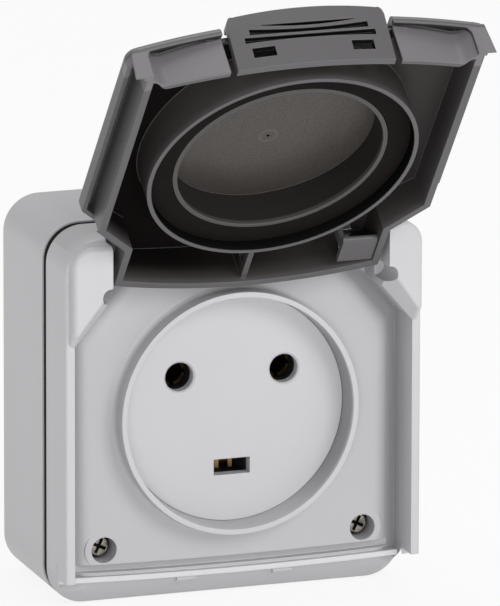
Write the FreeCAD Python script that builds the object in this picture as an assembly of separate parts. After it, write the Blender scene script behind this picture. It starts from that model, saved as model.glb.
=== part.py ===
"""Outdoor weatherproof wall socket: back box, front cover, socket insert and a hinged lid with a latch.

Frame: origin on the wall plane behind the centre of the socket, X right as seen from the front, Z up.
The wall plane is Y = 0 and everything stands in front of it, at negative Y. Sizes in millimetres.
The lid and its latch are drawn closed and then swung about the hinge to their open place.
"""
import FreeCAD, Part
import math
import os

V = FreeCAD.Vector
X_AXIS = V(1, 0, 0)
Y_AXIS = V(0, 1, 0)
Z_AXIS = V(0, 0, 1)
BIG = 400.0

# Body
BODY_W = 100.0            # width of the box and cover
BODY_H = 104.0            # height of the box and cover
BODY_CORNER_R = 10.0      # corners seen from the front
BOX_DEPTH = 35.5          # back box, wall plane to rim
BOX_WALL = 2.5
BOX_FLOOR = 2.8
BOX_BACK_EDGE_R = 2.0
PILLAR_T = 2.6            # wall of the pillars that the cover screws go into
PILLAR_DROP = 1.5         # their top below the rim
PILLAR_BLIND = 6.0        # solid foot of the pillars
GASKET_T = 3.5            # gasket between box and cover
GASKET_W = 3.2
GASKET_INSET = 0.5
COVER_DEPTH = 17.0        # cover, rear edge to the front of its side flanges
COVER_WALL = 2.2

# Front of the cover, depths measured back from the front of the side flanges
FLANGE_T = 2.5
PANEL_DROP = 8.5
PANEL_T = 2.2
PANEL_EDGE_R = 6.0        # soft edge where the panel rolls back into the side grooves
GROOVE_DROP = 14.0        # bottom of the grooves between the panel and the flanges
GUTTER_DROP = 10.6
LEDGE_DROP = 7.0
RIM_DROP = 2.7
FACE_DROP = 10.2

# Lower edge of the cover, heights below the socket centre
FLANGE_END_Z = -42.5
PANEL_END_Z = -40.6
PANEL_END_RISE = 1.0      # how much higher the edge is at its ends
LEDGE_TOP_Z = -42.8
LEDGE_RISE = 1.2
LEDGE_T = 1.6
CHIN_BULGE = 1.8          # how far the underside bulges from a straight slope
CHIN_BAND = 1.0           # upright band left above the rear edge of the cover

# Shoulders beside the hinge
SHOULDER_IN_X = 38.8
SLANT_LOW_Z = 22.8        # slanted inner walls: height where they leave the flanges
SLANT_TOP_Z = 33.0        # height where they reach the shoulders' inner sides
SHOULDER_RISE_OUT = 4.1   # rise in front of the flanges at the outer side
SHOULDER_RISE_IN = 6.2    # the same at the inner side
RAMP_RUN = 4.2            # width of the sloped face along the slanted walls
SHOULDER_INSET = 1.0      # raised part in from the outside of the cover
SHOULDER_CORNER_R = 6.0
SHOULDER_EDGE_R = 1.6
RAMP_EDGE_R = 1.0
FRONT_EDGE_R = 0.9        # outer front edge of the cover
NOTCH_R = 2.55            # round scallop in the inner side of each shoulder
NOTCH_X = 38.9
NOTCH_Z = 37.0
NOTCH_DROP = 6.0

# Socket well and insert
WELL_R = 31.4
WELL_DRAFT = 0.6
RIM_T = 1.4
COLLAR_T = 2.6
COLLAR_ROOT_R = 1.5
FACE_GAP = 0.1
FACE_T = 3.2
FACE_FLANGE_R = 36.0
FACE_FLANGE_T = 2.2
FACE_SEAL_T = 0.8
PIN_SPACING = 29.5
PIN_Z = 9.4
PIN_HOLE_R = 3.95
PIN_LEAD = 0.5
SLOT_W = 10.2
SLOT_H = 4.4
SLOT_Z = -16.4
EAR_OFFSET = 27.5         # ears of the insert at 45 degrees
EAR_R = 4.4
BASE_R = 28.4
BASE_DEPTH = 20.0
BASE_FLANGE_T = 2.4

# Contacts and terminals
PIN_R = 3.0
SLEEVE_T = 0.9
SLEEVE_LEN = 15.0
SLEEVE_SLIT = 1.2
CHAMBER_CLEAR = 0.6
CONTACT_DROP = 4.0        # front ends of the contacts behind the back of the face
STRIP_T = 1.0
STRIP_W = 5.0
EARTH_T = 1.2
EARTH_GAP = 2.6
EARTH_LEN = 12.0
EARTH_TERMINAL_RISE = 2.0 # earth terminal above the other two
STRIP_GAP = 0.3
SLEEVE_WHOLE = 3.5        # unslit rear end of a sleeve
TERMINAL_W = 8.0
TERMINAL_H = 9.0
TERMINAL_LEN = 8.6
TERMINAL_X = 16.5
TERMINAL_Z = -4.6
TERMINAL_BORE_R = 1.9
TERMINAL_SCREW_R = 1.6
TERMINAL_HEAD_R = 2.3
TERMINAL_HEAD_H = 1.4
TERMINAL_BORE_DROP = 3.0  # middle of the wire bore behind the front of the block

# Screws
SCREW_X = 36.6
SCREW_Z = -36.15
SCREW_R = 1.75
SCREW_HEAD_R = 3.0
SCREW_HEAD_H = 1.9
SCREW_HEAD_DROP = 4.6     # head below the panel
SCREW_BORE_R = 3.55
SCREW_TUBE_T = 1.8
SCREW_LEN = 16.0
SCREW_CLEAR = 0.2
SEAL_T = 0.8
BASE_SCREW_R = 1.5
BASE_SCREW_HEAD_R = 2.7
BASE_SCREW_HEAD_H = 1.8
BASE_SCREW_LEN = 8.0
SLOT_CUT_W = 0.9          # slots in the screw heads
BOSS_T = 1.7              # wall of the bosses for the base screws
BOSS_BLIND = 1.0          # how far their bores go into the panel

# Wall fixing and cable entries
FIX_X = 50.0
FIX_Z = 80.0
FIX_HOLE_R = 2.6
FIX_PAD_R = 5.5
FIX_PAD_T = 1.4
ENTRY_R = 10.2
ENTRY_Y = -18.0
GROMMET_LIP = 1.8
GROMMET_LIP_T = 1.4
GROMMET_NOSE = 6.0
GROMMET_T = 1.2
GROMMET_TAPER = 2.5
MEMBRANE_T = 0.8
KNOCKOUT_W = 0.9          # ring groove round the blind entry in the top wall
KNOCKOUT_DEPTH = 1.3

# Hinge and lid
OPEN_ANGLE = 141.0
HINGE_Z = 44.2
HINGE_DROP = 0.55         # hinge axis behind the front of the flanges
PIN_ROD_R = 1.3
PIN_RUN = 0.06            # running clearance of the rod in the lid
PIN_SEAT = 5.0            # length of each pin held in its shoulder
PIN_SHORT_X = 33.2        # inner end of the left pin
PIN_LONG_X = 26.2         # inner end of the right pin, which carries the spring
LID_EDGE_DROP = 5.3       # edge of the closed lid's skirt behind the front of the flanges
LID_DEPTH = 14.8          # skirt edge to the highest point of the lid
LID_T = 2.0
ROOT_DROP = 0.5           # walls of the lid start this far inside its plate
LID_CROWN_R = 303.0
LID_LIP_GAP = 0.5
LID_SHELL_T = 1.3
LID_EDGE_R = 2.2
LID_NECK_X = 38.2
LID_DIAGONAL_SUM = 70.3
LID_END_MID = 45.5        # free end below the socket centre, at the middle
LID_END_SIDE = 43.0       # the same near the corners
LID_CORNER_R = 3.5
HINGE_END_MID = 51.4
HINGE_END_SIDE = 46.8
HINGE_END_R = 10.2
HINGE_TROUGH_R = 11.0
SKIRT_X = 46.3
SKIRT_T = 1.9
SKIRT_NECK_X = 37.0
SKIRT_DIAGONAL_SUM = 69.0
SKIRT_END_MID = 44.5
SKIRT_END_DIP = 39.6
SKIRT_END_DIP_X = 40.0
FOOT_X = 44.6
FOOT_T = 1.3
FOOT_END_X = 47.2
RECESS_DROP = 3.0         # sunk fields of the free end below the crown
RING_OUT_R = 36.9
RING_IN_R = 29.2
RING_T = 1.2
RING_STEP = 2.8           # inner ring below the outer one
SEAL_GAP = 0.2
SEAL_DROP = 2.9           # face of the lid seal below the skirt edge
LID_SEAL_T = 4.0
CUP_DOME = 1.2
RIB_T = 1.5
RIB_DROP = 1.2

# Latch
LATCH_X = 21.7
LATCH_GAP = 1.9
LATCH_T = 2.1
LATCH_LEAN = 2.0
LATCH_DEPTH = 15.8
LATCH_TOP_T = 1.8
LATCH_TOP_S = 41.3        # inner edge of the latch's top, from the socket centre
LATCH_SLOT_S = 39.2       # inner edge of the lid's opening for the latch
LATCH_PIN_R = 0.9
LATCH_PIN_DROP = 11.0
LATCH_PIN_S = 41.6
LATCH_PIN_X = 26.4
LATCH_PIN_RUN = 0.05      # running clearance of the pin in the latch
LATCH_BOSS_T = 1.6
LATCH_BOSS_H = 2.1
LATCH_CORNER_W = 1.9      # rounded upper corners of the latch
LATCH_CORNER_H = 2.2
LATCH_TOP_SAG = 0.8       # how much lower the top is beside the corners than in the middle
LUG_X = 12.0
LUG_W = 5.0
LUG_R = 1.8
WINDOW_X = 13.6
WINDOW_W = 6.2
WINDOW_DROP = 3.1
WINDOW_H = 3.9
GRIP_DEPTH = 1.3
GRIPS = ((25, 1.0, 12.9, 0.2), (32, 1.5, 10.6, 0.5), (36, 1.8, 7.9, 0.6))  # length, height, depth, bow
HOOK_W = 5.2
HOOK_ARM_Z = -39.6
HOOK_ARM_T = 1.2
HOOK_TOOTH_LEN = 2.0
HOOK_TOOTH_DROP = 0.9     # middle of the tooth behind the front of the flanges
HOOK_TOOTH_Z = -43.8
HOOK_TAB_X = 26.0         # tabs that hang the cover on the box at the top
HOOK_TAB_W = 8.0
HOOK_TAB_T = 2.2
HOOK_TAB_LEN = 8.5
BARB_H = 1.0
CATCH_DROP = 0.6          # catch of the box below its rim
CATCH_T = 2.0
CATCH_GAP = 0.2
TAB_GAP = 0.3

# Lid springs
CLIP_T = 0.6              # flat clip that grips the right hinge pin
CLIP_W = 2.8
CLIP_X = 26.6
CLIP_LEG = 6.0
BLOCK_X = 25.2
BLOCK_LEN = 8.8
BLOCK_T = 1.5
BLOCK_DROP = 0.5
BLOCK_GAP = 0.2
BLOCK_LEG_T = 1.2
BLOCK_LEG_W = 3.0
LEG_GAP = 0.1
LEAF_T = 0.25             # leaf spring behind the top of the latch
LEAF_W = 8.0
LEAF_GAP = 0.1

# Planes worked out from the sizes above
BOX_RIM_Y = -BOX_DEPTH
COVER_REAR_Y = BOX_RIM_Y - GASKET_T
FLANGE_Y = COVER_REAR_Y - COVER_DEPTH
PANEL_Y = FLANGE_Y + PANEL_DROP
PANEL_BACK_Y = PANEL_Y + PANEL_T
GROOVE_Y = FLANGE_Y + GROOVE_DROP
GUTTER_Y = FLANGE_Y + GUTTER_DROP
LEDGE_Y = FLANGE_Y + LEDGE_DROP
RIM_Y = FLANGE_Y + RIM_DROP
FACE_Y = FLANGE_Y + FACE_DROP
HALF_W = BODY_W / 2
HALF_H = BODY_H / 2
FLANGE_IN_X = HALF_W - FLANGE_T
HINGE_Y = FLANGE_Y + HINGE_DROP
LID_EDGE_Y = FLANGE_Y + LID_EDGE_DROP
LID_TOP_Y = LID_EDGE_Y - LID_DEPTH
LID_LIP_Y = FLANGE_Y - LID_LIP_GAP
COLLAR_BACK_Y = FACE_Y + 2.4
FACE_FLANGE_Y = COLLAR_BACK_Y + FACE_SEAL_T
BASE_Y = FACE_Y + FACE_T
BASE_FLANGE_Y = FACE_FLANGE_Y + FACE_FLANGE_T
BASE_BACK_Y = BASE_Y + BASE_DEPTH
SCREW_HEAD_Y = PANEL_Y + SCREW_HEAD_DROP
SCREW_SEAT_Y = SCREW_HEAD_Y + SCREW_HEAD_H + SEAL_T
SKIRT_END_X = LATCH_X + LATCH_GAP
SLANT = (SLANT_TOP_Z - SLANT_LOW_Z) / (FLANGE_IN_X - SHOULDER_IN_X)
SKIRT_END_SIDE = LID_END_SIDE - 0.6
TAB_TOP_Z = HALF_H - GASKET_INSET - GASKET_W - TAB_GAP
TERMINAL_Y = BASE_BACK_Y - TERMINAL_LEN - 1.0
STRIP_Y = BASE_Y + SLEEVE_LEN
TERMINAL_STRIP_Z = TERMINAL_Z + TERMINAL_H / 2


def box(x0, x1, y0, y1, z0, z1):
    corner = V(min(x0, x1), min(y0, y1), min(z0, z1))
    return Part.makeBox(abs(x1 - x0), abs(y1 - y0), abs(z1 - z0), corner)


def cylinder_y(radius, x, z, y0, y1):
    return Part.makeCylinder(radius, abs(y1 - y0), V(x, min(y0, y1), z), Y_AXIS)


def cylinder_x(radius, y, z, x0, x1):
    return Part.makeCylinder(radius, abs(x1 - x0), V(min(x0, x1), y, z), X_AXIS)


def cylinder_z(radius, x, y, z0, z1):
    return Part.makeCylinder(radius, abs(z1 - z0), V(x, y, min(z0, z1)), Z_AXIS)


def cone_y(radius0, radius1, x, z, y0, y1):
    """Cone along +Y from radius0 at y0 to radius1 at y1."""
    return Part.makeCone(radius0, radius1, y1 - y0, V(x, y0, z), Y_AXIS)


def tube_y(outer, inner, x, z, y0, y1):
    return cylinder_y(outer, x, z, y0, y1).cut(cylinder_y(inner, x, z, y0 - 1, y1 + 1))


def rounded_wire(corners, y=0.0):
    """Closed wire in the plane Y = y from (x, z, radius) corners, each rounded by its own radius."""
    count = len(corners)
    starts = []
    ends = []
    middles = []
    for i in range(count):
        here = V(corners[i][0], y, corners[i][1])
        before = V(corners[i - 1][0], y, corners[i - 1][1])
        after = V(corners[(i + 1) % count][0], y, corners[(i + 1) % count][1])
        to_before = (before - here).normalize()
        to_after = (after - here).normalize()
        radius = corners[i][2]
        half = math.acos(max(-1.0, min(1.0, to_before.dot(to_after)))) / 2
        reach = radius / math.tan(half) if radius else 0.0
        starts.append(here + to_before * reach)
        ends.append(here + to_after * reach)
        bisector = (to_before + to_after)
        if radius and bisector.Length > 1e-9:
            bisector.normalize()
            middles.append(here + bisector * (radius / math.sin(half) - radius))
        else:
            middles.append(None)
    edges = []
    for i in range(count):
        if middles[i] is not None:
            edges.append(Part.Arc(starts[i], middles[i], ends[i]).toShape())
        following = starts[(i + 1) % count]
        if (following - ends[i]).Length > 1e-6:
            edges.append(Part.makeLine(ends[i], following))
    return Part.Wire(edges)


def rectangle_corners(half_x, half_z, radius):
    signs = ((1, 1), (-1, 1), (-1, -1), (1, -1))
    return [(sx * half_x, sz * half_z, radius) for sx, sz in signs]


def prism(wire, y0, y1):
    """Solid on a wire drawn in an XZ plane, between two values of Y."""
    face = Part.Face(wire)
    face.translate(V(0, min(y0, y1) - wire.Vertexes[0].Y, 0))
    return face.extrude(V(0, abs(y1 - y0), 0))


def rounded_block(half_x, half_z, radius, y0, y1):
    return prism(rounded_wire(rectangle_corners(half_x, half_z, radius)), y0, y1)


def polygon_x(points, x0, x1):
    """Solid on a polygon of (y, z) points, between two values of X."""
    ring = [V(x0, y, z) for y, z in points]
    face = Part.Face(Part.makePolygon(ring + ring[:1]))
    return face.extrude(V(x1 - x0, 0, 0))


def half_space(point, normal):
    """Large block whose one face passes through point; the block lies on the side that normal points to."""
    block = Part.makeBox(2 * BIG, 2 * BIG, BIG, V(-BIG, -BIG, 0))
    turn = FreeCAD.Rotation(Z_AXIS, normal)
    block.Placement = FreeCAD.Placement(point, turn)
    return block


def mirrored(shape):
    return shape.mirror(V(0, 0, 0), X_AXIS)


def fuse_all(shapes):
    result = shapes[0]
    for shape in shapes[1:]:
        result = result.fuse(shape)
    return result.removeSplitter()


def edges_where(shape, test):
    return [edge for edge in shape.Edges if test(edge)]


def filleted(shape, radius, edges):
    return shape.makeFillet(radius, edges) if edges else shape


def flat_in_y(edge, y, tolerance=1e-4):
    bounds = edge.BoundBox
    return abs(bounds.YMin - y) < tolerance and abs(bounds.YMax - y) < tolerance


def write(name, shape):
    shape = shape.removeSplitter()
    solids = shape.Solids
    shape = solids[0] if len(solids) == 1 else Part.makeCompound(solids)
    shape.exportStep(os.path.join("parts", name + ".step"))
    volume = round(sum(solid.Volume for solid in solids) / 1000, 2)
    print(name, len(solids), "solid(s)", volume, "cm3", shape.isValid())


# Back box

def back_box():
    outer = rounded_block(HALF_W, HALF_H, BODY_CORNER_R, BOX_RIM_Y, 0)
    outer = filleted(outer, BOX_BACK_EDGE_R, edges_where(outer, lambda e: flat_in_y(e, 0)))
    half_x = HALF_W - BOX_WALL
    half_z = HALF_H - BOX_WALL
    body = outer.cut(rounded_block(half_x, half_z, BODY_CORNER_R - BOX_WALL, BOX_RIM_Y - 1, -BOX_FLOOR))
    added = []
    removed = []
    for side in (-1, 1):
        pillar_y = BOX_RIM_Y + PILLAR_DROP
        added.append(cylinder_y(SCREW_R + PILLAR_T, side * SCREW_X, SCREW_Z, pillar_y, -BOX_FLOOR))
        removed.append(cylinder_y(SCREW_R, side * SCREW_X, SCREW_Z, BOX_RIM_Y, -BOX_FLOOR - PILLAR_BLIND))
        for level in (-1, 1):
            x = side * FIX_X / 2
            z = level * FIX_Z / 2
            added.append(cylinder_y(FIX_PAD_R, x, z, -BOX_FLOOR - FIX_PAD_T, -BOX_FLOOR))
            removed.append(cylinder_y(FIX_HOLE_R, x, z, -BOX_FLOOR - FIX_PAD_T - 1, 1))
        added.append(box_catch(side * HOOK_TAB_X))
    removed.append(cylinder_z(ENTRY_R, 0, ENTRY_Y, -HALF_H - 1, -HALF_H + BOX_WALL + 1))
    ring = cylinder_z(ENTRY_R, 0, ENTRY_Y, HALF_H - KNOCKOUT_DEPTH, HALF_H + 1)
    removed.append(ring.cut(cylinder_z(ENTRY_R - KNOCKOUT_W, 0, ENTRY_Y, HALF_H - 5, HALF_H + 2)))
    for shape in added:
        body = body.fuse(shape)
    for shape in removed:
        body = body.cut(shape)
    return body


def box_catch(x):
    """Rib under the top wall of the box, just inside its rim, that the barb of a cover tab goes behind."""
    half = HOOK_TAB_W / 2 + 1
    front = BOX_RIM_Y + CATCH_DROP
    return box(x - half, x + half, front, front + CATCH_T, TAB_TOP_Z + TAB_GAP, HALF_H - BOX_WALL + 0.5)


def inset_block(inset, y0, y1):
    """Block with the outline of the box moved inwards."""
    return rounded_block(HALF_W - inset, HALF_H - inset, BODY_CORNER_R - inset, y0, y1)


def box_gasket():
    outer = inset_block(GASKET_INSET, COVER_REAR_Y, BOX_RIM_Y)
    return outer.cut(inset_block(GASKET_INSET + GASKET_W, COVER_REAR_Y - 1, BOX_RIM_Y + 1))


# Front cover

def bottom_arc_block(z_mid, rise, y0, y1):
    """Everything above a shallow arc that is lowest at the middle, between two values of Y."""
    left = V(-HALF_W - 5, 0, z_mid + rise)
    right = V(HALF_W + 5, 0, z_mid + rise)
    arc = Part.Arc(left, V(0, 0, z_mid), right).toShape()
    top = [V(HALF_W + 5, 0, 80), V(-HALF_W - 5, 0, 80)]
    lines = [Part.makeLine(right, top[0]), Part.makeLine(top[0], top[1]), Part.makeLine(top[1], left)]
    return prism(Part.Wire([arc] + lines), y0, y1)


def slant_z(x):
    """Height of the slanted inner wall at a distance x from the middle."""
    return SLANT_LOW_Z + (FLANGE_IN_X - x) * SLANT


def slant_x(z):
    return FLANGE_IN_X - (z - SLANT_LOW_Z) / SLANT


def panel_block():
    """The panel as a raised field: sloped sides that start in the grooves, with a soft upper edge."""
    top_z = HINGE_Z + 4
    right = [(FLANGE_IN_X, -90, 0), (FLANGE_IN_X, SLANT_LOW_Z, 0), (slant_x(top_z), top_z, 0)]
    left = [(-x, z, r) for x, z, r in reversed(right)]
    block = prism(rounded_wire(right + left), PANEL_Y, GROOVE_Y + 1)
    block = block.makeChamfer(GROOVE_Y - PANEL_Y, edges_where(block, is_panel_side))
    return block.makeFillet(PANEL_EDGE_R, edges_where(block, is_panel_side))


def is_panel_side(edge):
    """Tells the upright and slanted edges of the panel's front from the others."""
    bounds = edge.BoundBox
    return flat_in_y(edge, PANEL_Y) and bounds.ZLength > 1 and bounds.XMax * bounds.XMin > 0


def front_pocket():
    """The space in front of the panel and in the grooves, between flanges, slanted walls and shoulders."""
    right = [(FLANGE_IN_X, -90, 0), (FLANGE_IN_X, SLANT_LOW_Z, 0)]
    right += [(SHOULDER_IN_X, SLANT_TOP_Z, 0), (SHOULDER_IN_X, 90, 0)]
    left = [(-x, z, r) for x, z, r in reversed(right)]
    pocket = prism(rounded_wire(right + left), FLANGE_Y - 30, GROOVE_Y)
    trough = cylinder_x(HINGE_TROUGH_R, HINGE_Y, HINGE_Z, -SHOULDER_IN_X, SHOULDER_IN_X)
    above = box(-BODY_W, BODY_W, -90, GROOVE_Y + 1, HINGE_Z, 90)
    return pocket.cut(panel_block()).cut(above).fuse(trough).fuse(pocket.common(above).cut(trough_back()))


def trough_back():
    """Wall of the cover behind and above the hinge."""
    behind = box(-BODY_W, BODY_W, HINGE_Y, 0, HINGE_Z, 90)
    return behind.cut(cylinder_x(HINGE_TROUGH_R, HINGE_Y, HINGE_Z, -BODY_W, BODY_W))


def shoulder():
    """Raised block beside the hinge on the right, in front of the flange plane."""
    out_x = HALF_W - SHOULDER_INSET
    top_z = HALF_H - SHOULDER_INSET
    outline = [(out_x, slant_z(out_x), 0), (out_x, top_z, SHOULDER_CORNER_R)]
    outline += [(SHOULDER_IN_X, top_z, 0), (SHOULDER_IN_X, SLANT_TOP_Z, 0)]
    block = prism(rounded_wire(outline), FLANGE_Y - SHOULDER_RISE_IN - 2, FLANGE_Y + FRONT_EDGE_R)
    across = V(SHOULDER_IN_X - out_x, SHOULDER_RISE_OUT - SHOULDER_RISE_IN, 0)
    front_normal = V(-across.y, across.x, 0)
    block = block.cut(half_space(V(out_x, FLANGE_Y - SHOULDER_RISE_OUT, 0), front_normal))
    block = block.makeFillet(SHOULDER_EDGE_R, edges_where(block, is_shoulder_rim))
    along = V(SHOULDER_IN_X - FLANGE_IN_X, 0, SLANT_TOP_Z - SLANT_LOW_Z).normalize()
    outward = V(along.z, 0, -along.x)
    ramp_normal = V(-outward.x * SHOULDER_RISE_IN, -RAMP_RUN, -outward.z * SHOULDER_RISE_IN)
    block = block.cut(half_space(V(FLANGE_IN_X, FLANGE_Y, SLANT_LOW_Z), ramp_normal))
    return block.makeFillet(RAMP_EDGE_R, edges_where(block, is_ramp_edge))


def is_shoulder_rim(edge):
    """Front edges of a shoulder along its outer side, corner and top."""
    bounds = edge.BoundBox
    in_front = bounds.YMax < FLANGE_Y - SHOULDER_RISE_OUT * 0.9
    outside = bounds.ZMax > SLANT_TOP_Z + 6 and bounds.XMax > SHOULDER_IN_X + 1
    at_ramp = bounds.ZMin < SLANT_TOP_Z and bounds.XMin < FLANGE_IN_X
    return in_front and outside and not at_ramp


def is_ramp_edge(edge):
    """Front edge where the sloped face meets the front of a shoulder."""
    bounds = edge.BoundBox
    in_front = bounds.YMax < FLANGE_Y - SHOULDER_RISE_OUT * 0.5
    return in_front and bounds.ZLength > 5 and bounds.XLength > 5 and bounds.ZMax < HINGE_Z


def chin():
    """Rounded underside of the cover: what is cut away below and in front of the ledge."""
    ledge_bottom = LEDGE_TOP_Z - LEDGE_T
    start = V(0, LEDGE_Y, ledge_bottom)
    finish = V(0, COVER_REAR_Y - CHIN_BAND, -HALF_H)
    along = (finish - start).normalize()
    middle = (start + finish) * 0.5 + V(0, along.z, -along.y) * CHIN_BULGE
    arc = Part.Arc(start, middle, finish).toShape()
    bottom = -HALF_H - 20
    low = [V(0, finish.y, bottom), V(0, FLANGE_Y - 20, bottom), V(0, FLANGE_Y - 20, ledge_bottom)]
    lines = lines_through([finish] + low + [start])
    face = Part.Face(Part.Wire([arc] + lines))
    face.translate(V(-BODY_W, 0, 0))
    return face.extrude(V(2 * BODY_W, 0, 0))


def cover_rear_pocket():
    """Hollow behind the panel."""
    inset = GROOVE_Y - PANEL_Y + 0.5
    half_x = FLANGE_IN_X - inset
    drop = inset * math.sqrt(1 + SLANT ** 2)
    top_z = HINGE_Z
    right = [(half_x, PANEL_END_Z + COVER_WALL, 2), (half_x, slant_z(half_x) - drop, 0)]
    right.append((slant_x(top_z + drop), top_z, 0))
    left = [(-x, z, r) for x, z, r in reversed(right)]
    hollow = prism(rounded_wire(right + left), PANEL_BACK_Y, COVER_REAR_Y + 1)
    low_z = -HALF_H + 2 * COVER_WALL + 1
    low = box(-half_x, half_x, GUTTER_Y + COVER_WALL, COVER_REAR_Y + 1, low_z, 0)
    trough = cylinder_x(HINGE_TROUGH_R + COVER_WALL, HINGE_Y, HINGE_Z, -BODY_W, BODY_W)
    return hollow.fuse(low).cut(trough)


def ledge_slot():
    """Slot between the lower edge of the panel and the ledge, and the open ends of the side grooves."""
    above_ledge = bottom_arc_block(LEDGE_TOP_Z, LEDGE_RISE, FLANGE_Y - 30, GROOVE_Y)
    between = box(-FLANGE_IN_X, FLANGE_IN_X, FLANGE_Y - 30, GROOVE_Y, -HALF_H, PANEL_END_Z + 5)
    panel = bottom_arc_block(PANEL_END_Z, PANEL_END_RISE, PANEL_Y, GROOVE_Y + 1).common(panel_block())
    behind = box(-FLANGE_IN_X, FLANGE_IN_X, GUTTER_Y, GROOVE_Y + 1, -90, 0).common(panel_block())
    return above_ledge.common(between).cut(panel).cut(behind)


def below_panel_end():
    """Space under the lower edge of the panel, in front of the gutter."""
    space = box(-HALF_W, HALF_W, FLANGE_Y - 30, GUTTER_Y, -90, PANEL_END_Z + 5)
    return space.cut(bottom_arc_block(PANEL_END_Z, PANEL_END_RISE, FLANGE_Y - 30, GUTTER_Y))


def front_cover():
    body = rounded_block(HALF_W, HALF_H, BODY_CORNER_R, FLANGE_Y, COVER_REAR_Y)
    body = body.makeFillet(FRONT_EDGE_R, edges_where(body, lambda e: flat_in_y(e, FLANGE_Y)))
    right = shoulder()
    body = body.fuse(right).fuse(mirrored(right))
    body = body.cut(front_pocket())
    body = body.cut(ledge_slot())
    body = body.cut(box(-BODY_W, BODY_W, FLANGE_Y - 30, LEDGE_Y, -90, FLANGE_END_Z))
    body = body.cut(chin())
    body = body.cut(cover_rear_pocket())
    body = add_collar(body)
    body = add_cover_fixings(body)
    body = add_hooks(body)
    return body


def add_collar(body):
    outer = WELL_R + WELL_DRAFT + RIM_T
    root = fuse_all([cylinder_y(outer, 0, 0, RIM_Y, PANEL_BACK_Y),
                     cylinder_y(WELL_R + COLLAR_T, 0, 0, PANEL_Y, COLLAR_BACK_Y)])
    body = body.fuse(root)
    mouth = cone_y(WELL_R + WELL_DRAFT, WELL_R, 0, 0, RIM_Y, FACE_Y)
    body = body.cut(mouth.fuse(cylinder_y(WELL_R, 0, 0, FACE_Y - 0.01, COLLAR_BACK_Y + 1)))
    root_edge = edges_where(body, lambda e: flat_in_y(e, PANEL_Y) and is_circle(e, outer))
    return filleted(body, COLLAR_ROOT_R, root_edge)


def is_circle(edge, radius):
    return hasattr(edge.Curve, "Radius") and abs(edge.Curve.Radius - radius) < 1e-3


def add_cover_fixings(body):
    for side in (-1, 1):
        x = side * SCREW_X
        tube = cylinder_y(SCREW_BORE_R + SCREW_TUBE_T, x, SCREW_Z, PANEL_Y, COVER_REAR_Y)
        body = body.fuse(tube.cut(below_panel_end()))
        body = body.cut(cylinder_y(SCREW_BORE_R, x, SCREW_Z, PANEL_Y - 1, SCREW_SEAT_Y))
        body = body.cut(cylinder_y(SCREW_R + SCREW_CLEAR, x, SCREW_Z, PANEL_Y, COVER_REAR_Y + 1))
        x = side * EAR_OFFSET
        z = -side * EAR_OFFSET
        body = body.fuse(cylinder_y(BASE_SCREW_R + BOSS_T, x, z, PANEL_BACK_Y - 0.5, FACE_FLANGE_Y))
        body = body.cut(cylinder_y(BASE_SCREW_R, x, z, PANEL_BACK_Y - BOSS_BLIND, FACE_FLANGE_Y + 1))
        seat_x = side * (SHOULDER_IN_X + PIN_SEAT)
        seat = cylinder_x(PIN_ROD_R, HINGE_Y, HINGE_Z, side * (SHOULDER_IN_X - 1), seat_x)
        notch = cylinder_y(NOTCH_R, side * NOTCH_X, NOTCH_Z, FLANGE_Y - 30, FLANGE_Y + NOTCH_DROP)
        body = body.cut(seat.fuse(notch))
    return body


def add_hooks(body):
    """Two hooks for the latch under the panel, and two barbed tabs at the top of the rear."""
    for side in (-1, 1):
        x0 = side * (WINDOW_X - HOOK_W / 2)
        x1 = side * (WINDOW_X + HOOK_W / 2)
        front = FLANGE_Y + HOOK_TOOTH_DROP - HOOK_TOOTH_LEN / 2
        arm = box(x0, x1, front, GUTTER_Y + 0.5, HOOK_ARM_Z, HOOK_ARM_Z - HOOK_ARM_T)
        tooth = box(x0, x1, front, front + HOOK_TOOTH_LEN, HOOK_ARM_Z, HOOK_TOOTH_Z)
        body = body.fuse(arm.fuse(tooth))
        body = body.fuse(cover_tab(side * HOOK_TAB_X))
    return body


def cover_tab(x):
    """Tab that reaches into the box through the gasket, with a barb behind the box's catch."""
    half = HOOK_TAB_W / 2
    start = COVER_REAR_Y - 1
    end = COVER_REAR_Y + HOOK_TAB_LEN
    barb = BOX_RIM_Y + CATCH_DROP + CATCH_T + CATCH_GAP
    under_z = TAB_TOP_Z - HOOK_TAB_T
    points = [(start, TAB_TOP_Z), (barb, TAB_TOP_Z), (barb, TAB_TOP_Z + BARB_H)]
    points += [(end, TAB_TOP_Z - 0.4), (end, under_z), (start, under_z)]
    return polygon_x(points, x - half, x + half)


# Socket insert

def face_holes(y0, y1):
    holes = []
    for side in (-1, 1):
        x = side * PIN_SPACING / 2
        holes.append(cylinder_y(PIN_HOLE_R, x, PIN_Z, y0, y1))
        lead_y = FACE_Y - 0.001
        holes.append(cone_y(PIN_HOLE_R + PIN_LEAD, PIN_HOLE_R, x, PIN_Z, lead_y, FACE_Y + PIN_LEAD))
    holes.append(box(-SLOT_W / 2, SLOT_W / 2, y0, y1, SLOT_Z - SLOT_H / 2, SLOT_Z + SLOT_H / 2))
    return holes


def ears(y0, y1):
    """A pair of screw ears on one diagonal."""
    reach = EAR_OFFSET * math.sqrt(2)
    bar = box(-reach, reach, y0, y1, -EAR_R, EAR_R)
    bar.rotate(V(0, 0, 0), Y_AXIS, 45)
    shapes = [bar]
    for side in (-1, 1):
        shapes.append(cylinder_y(EAR_R, side * EAR_OFFSET, -side * EAR_OFFSET, y0, y1))
    return fuse_all(shapes)


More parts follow.
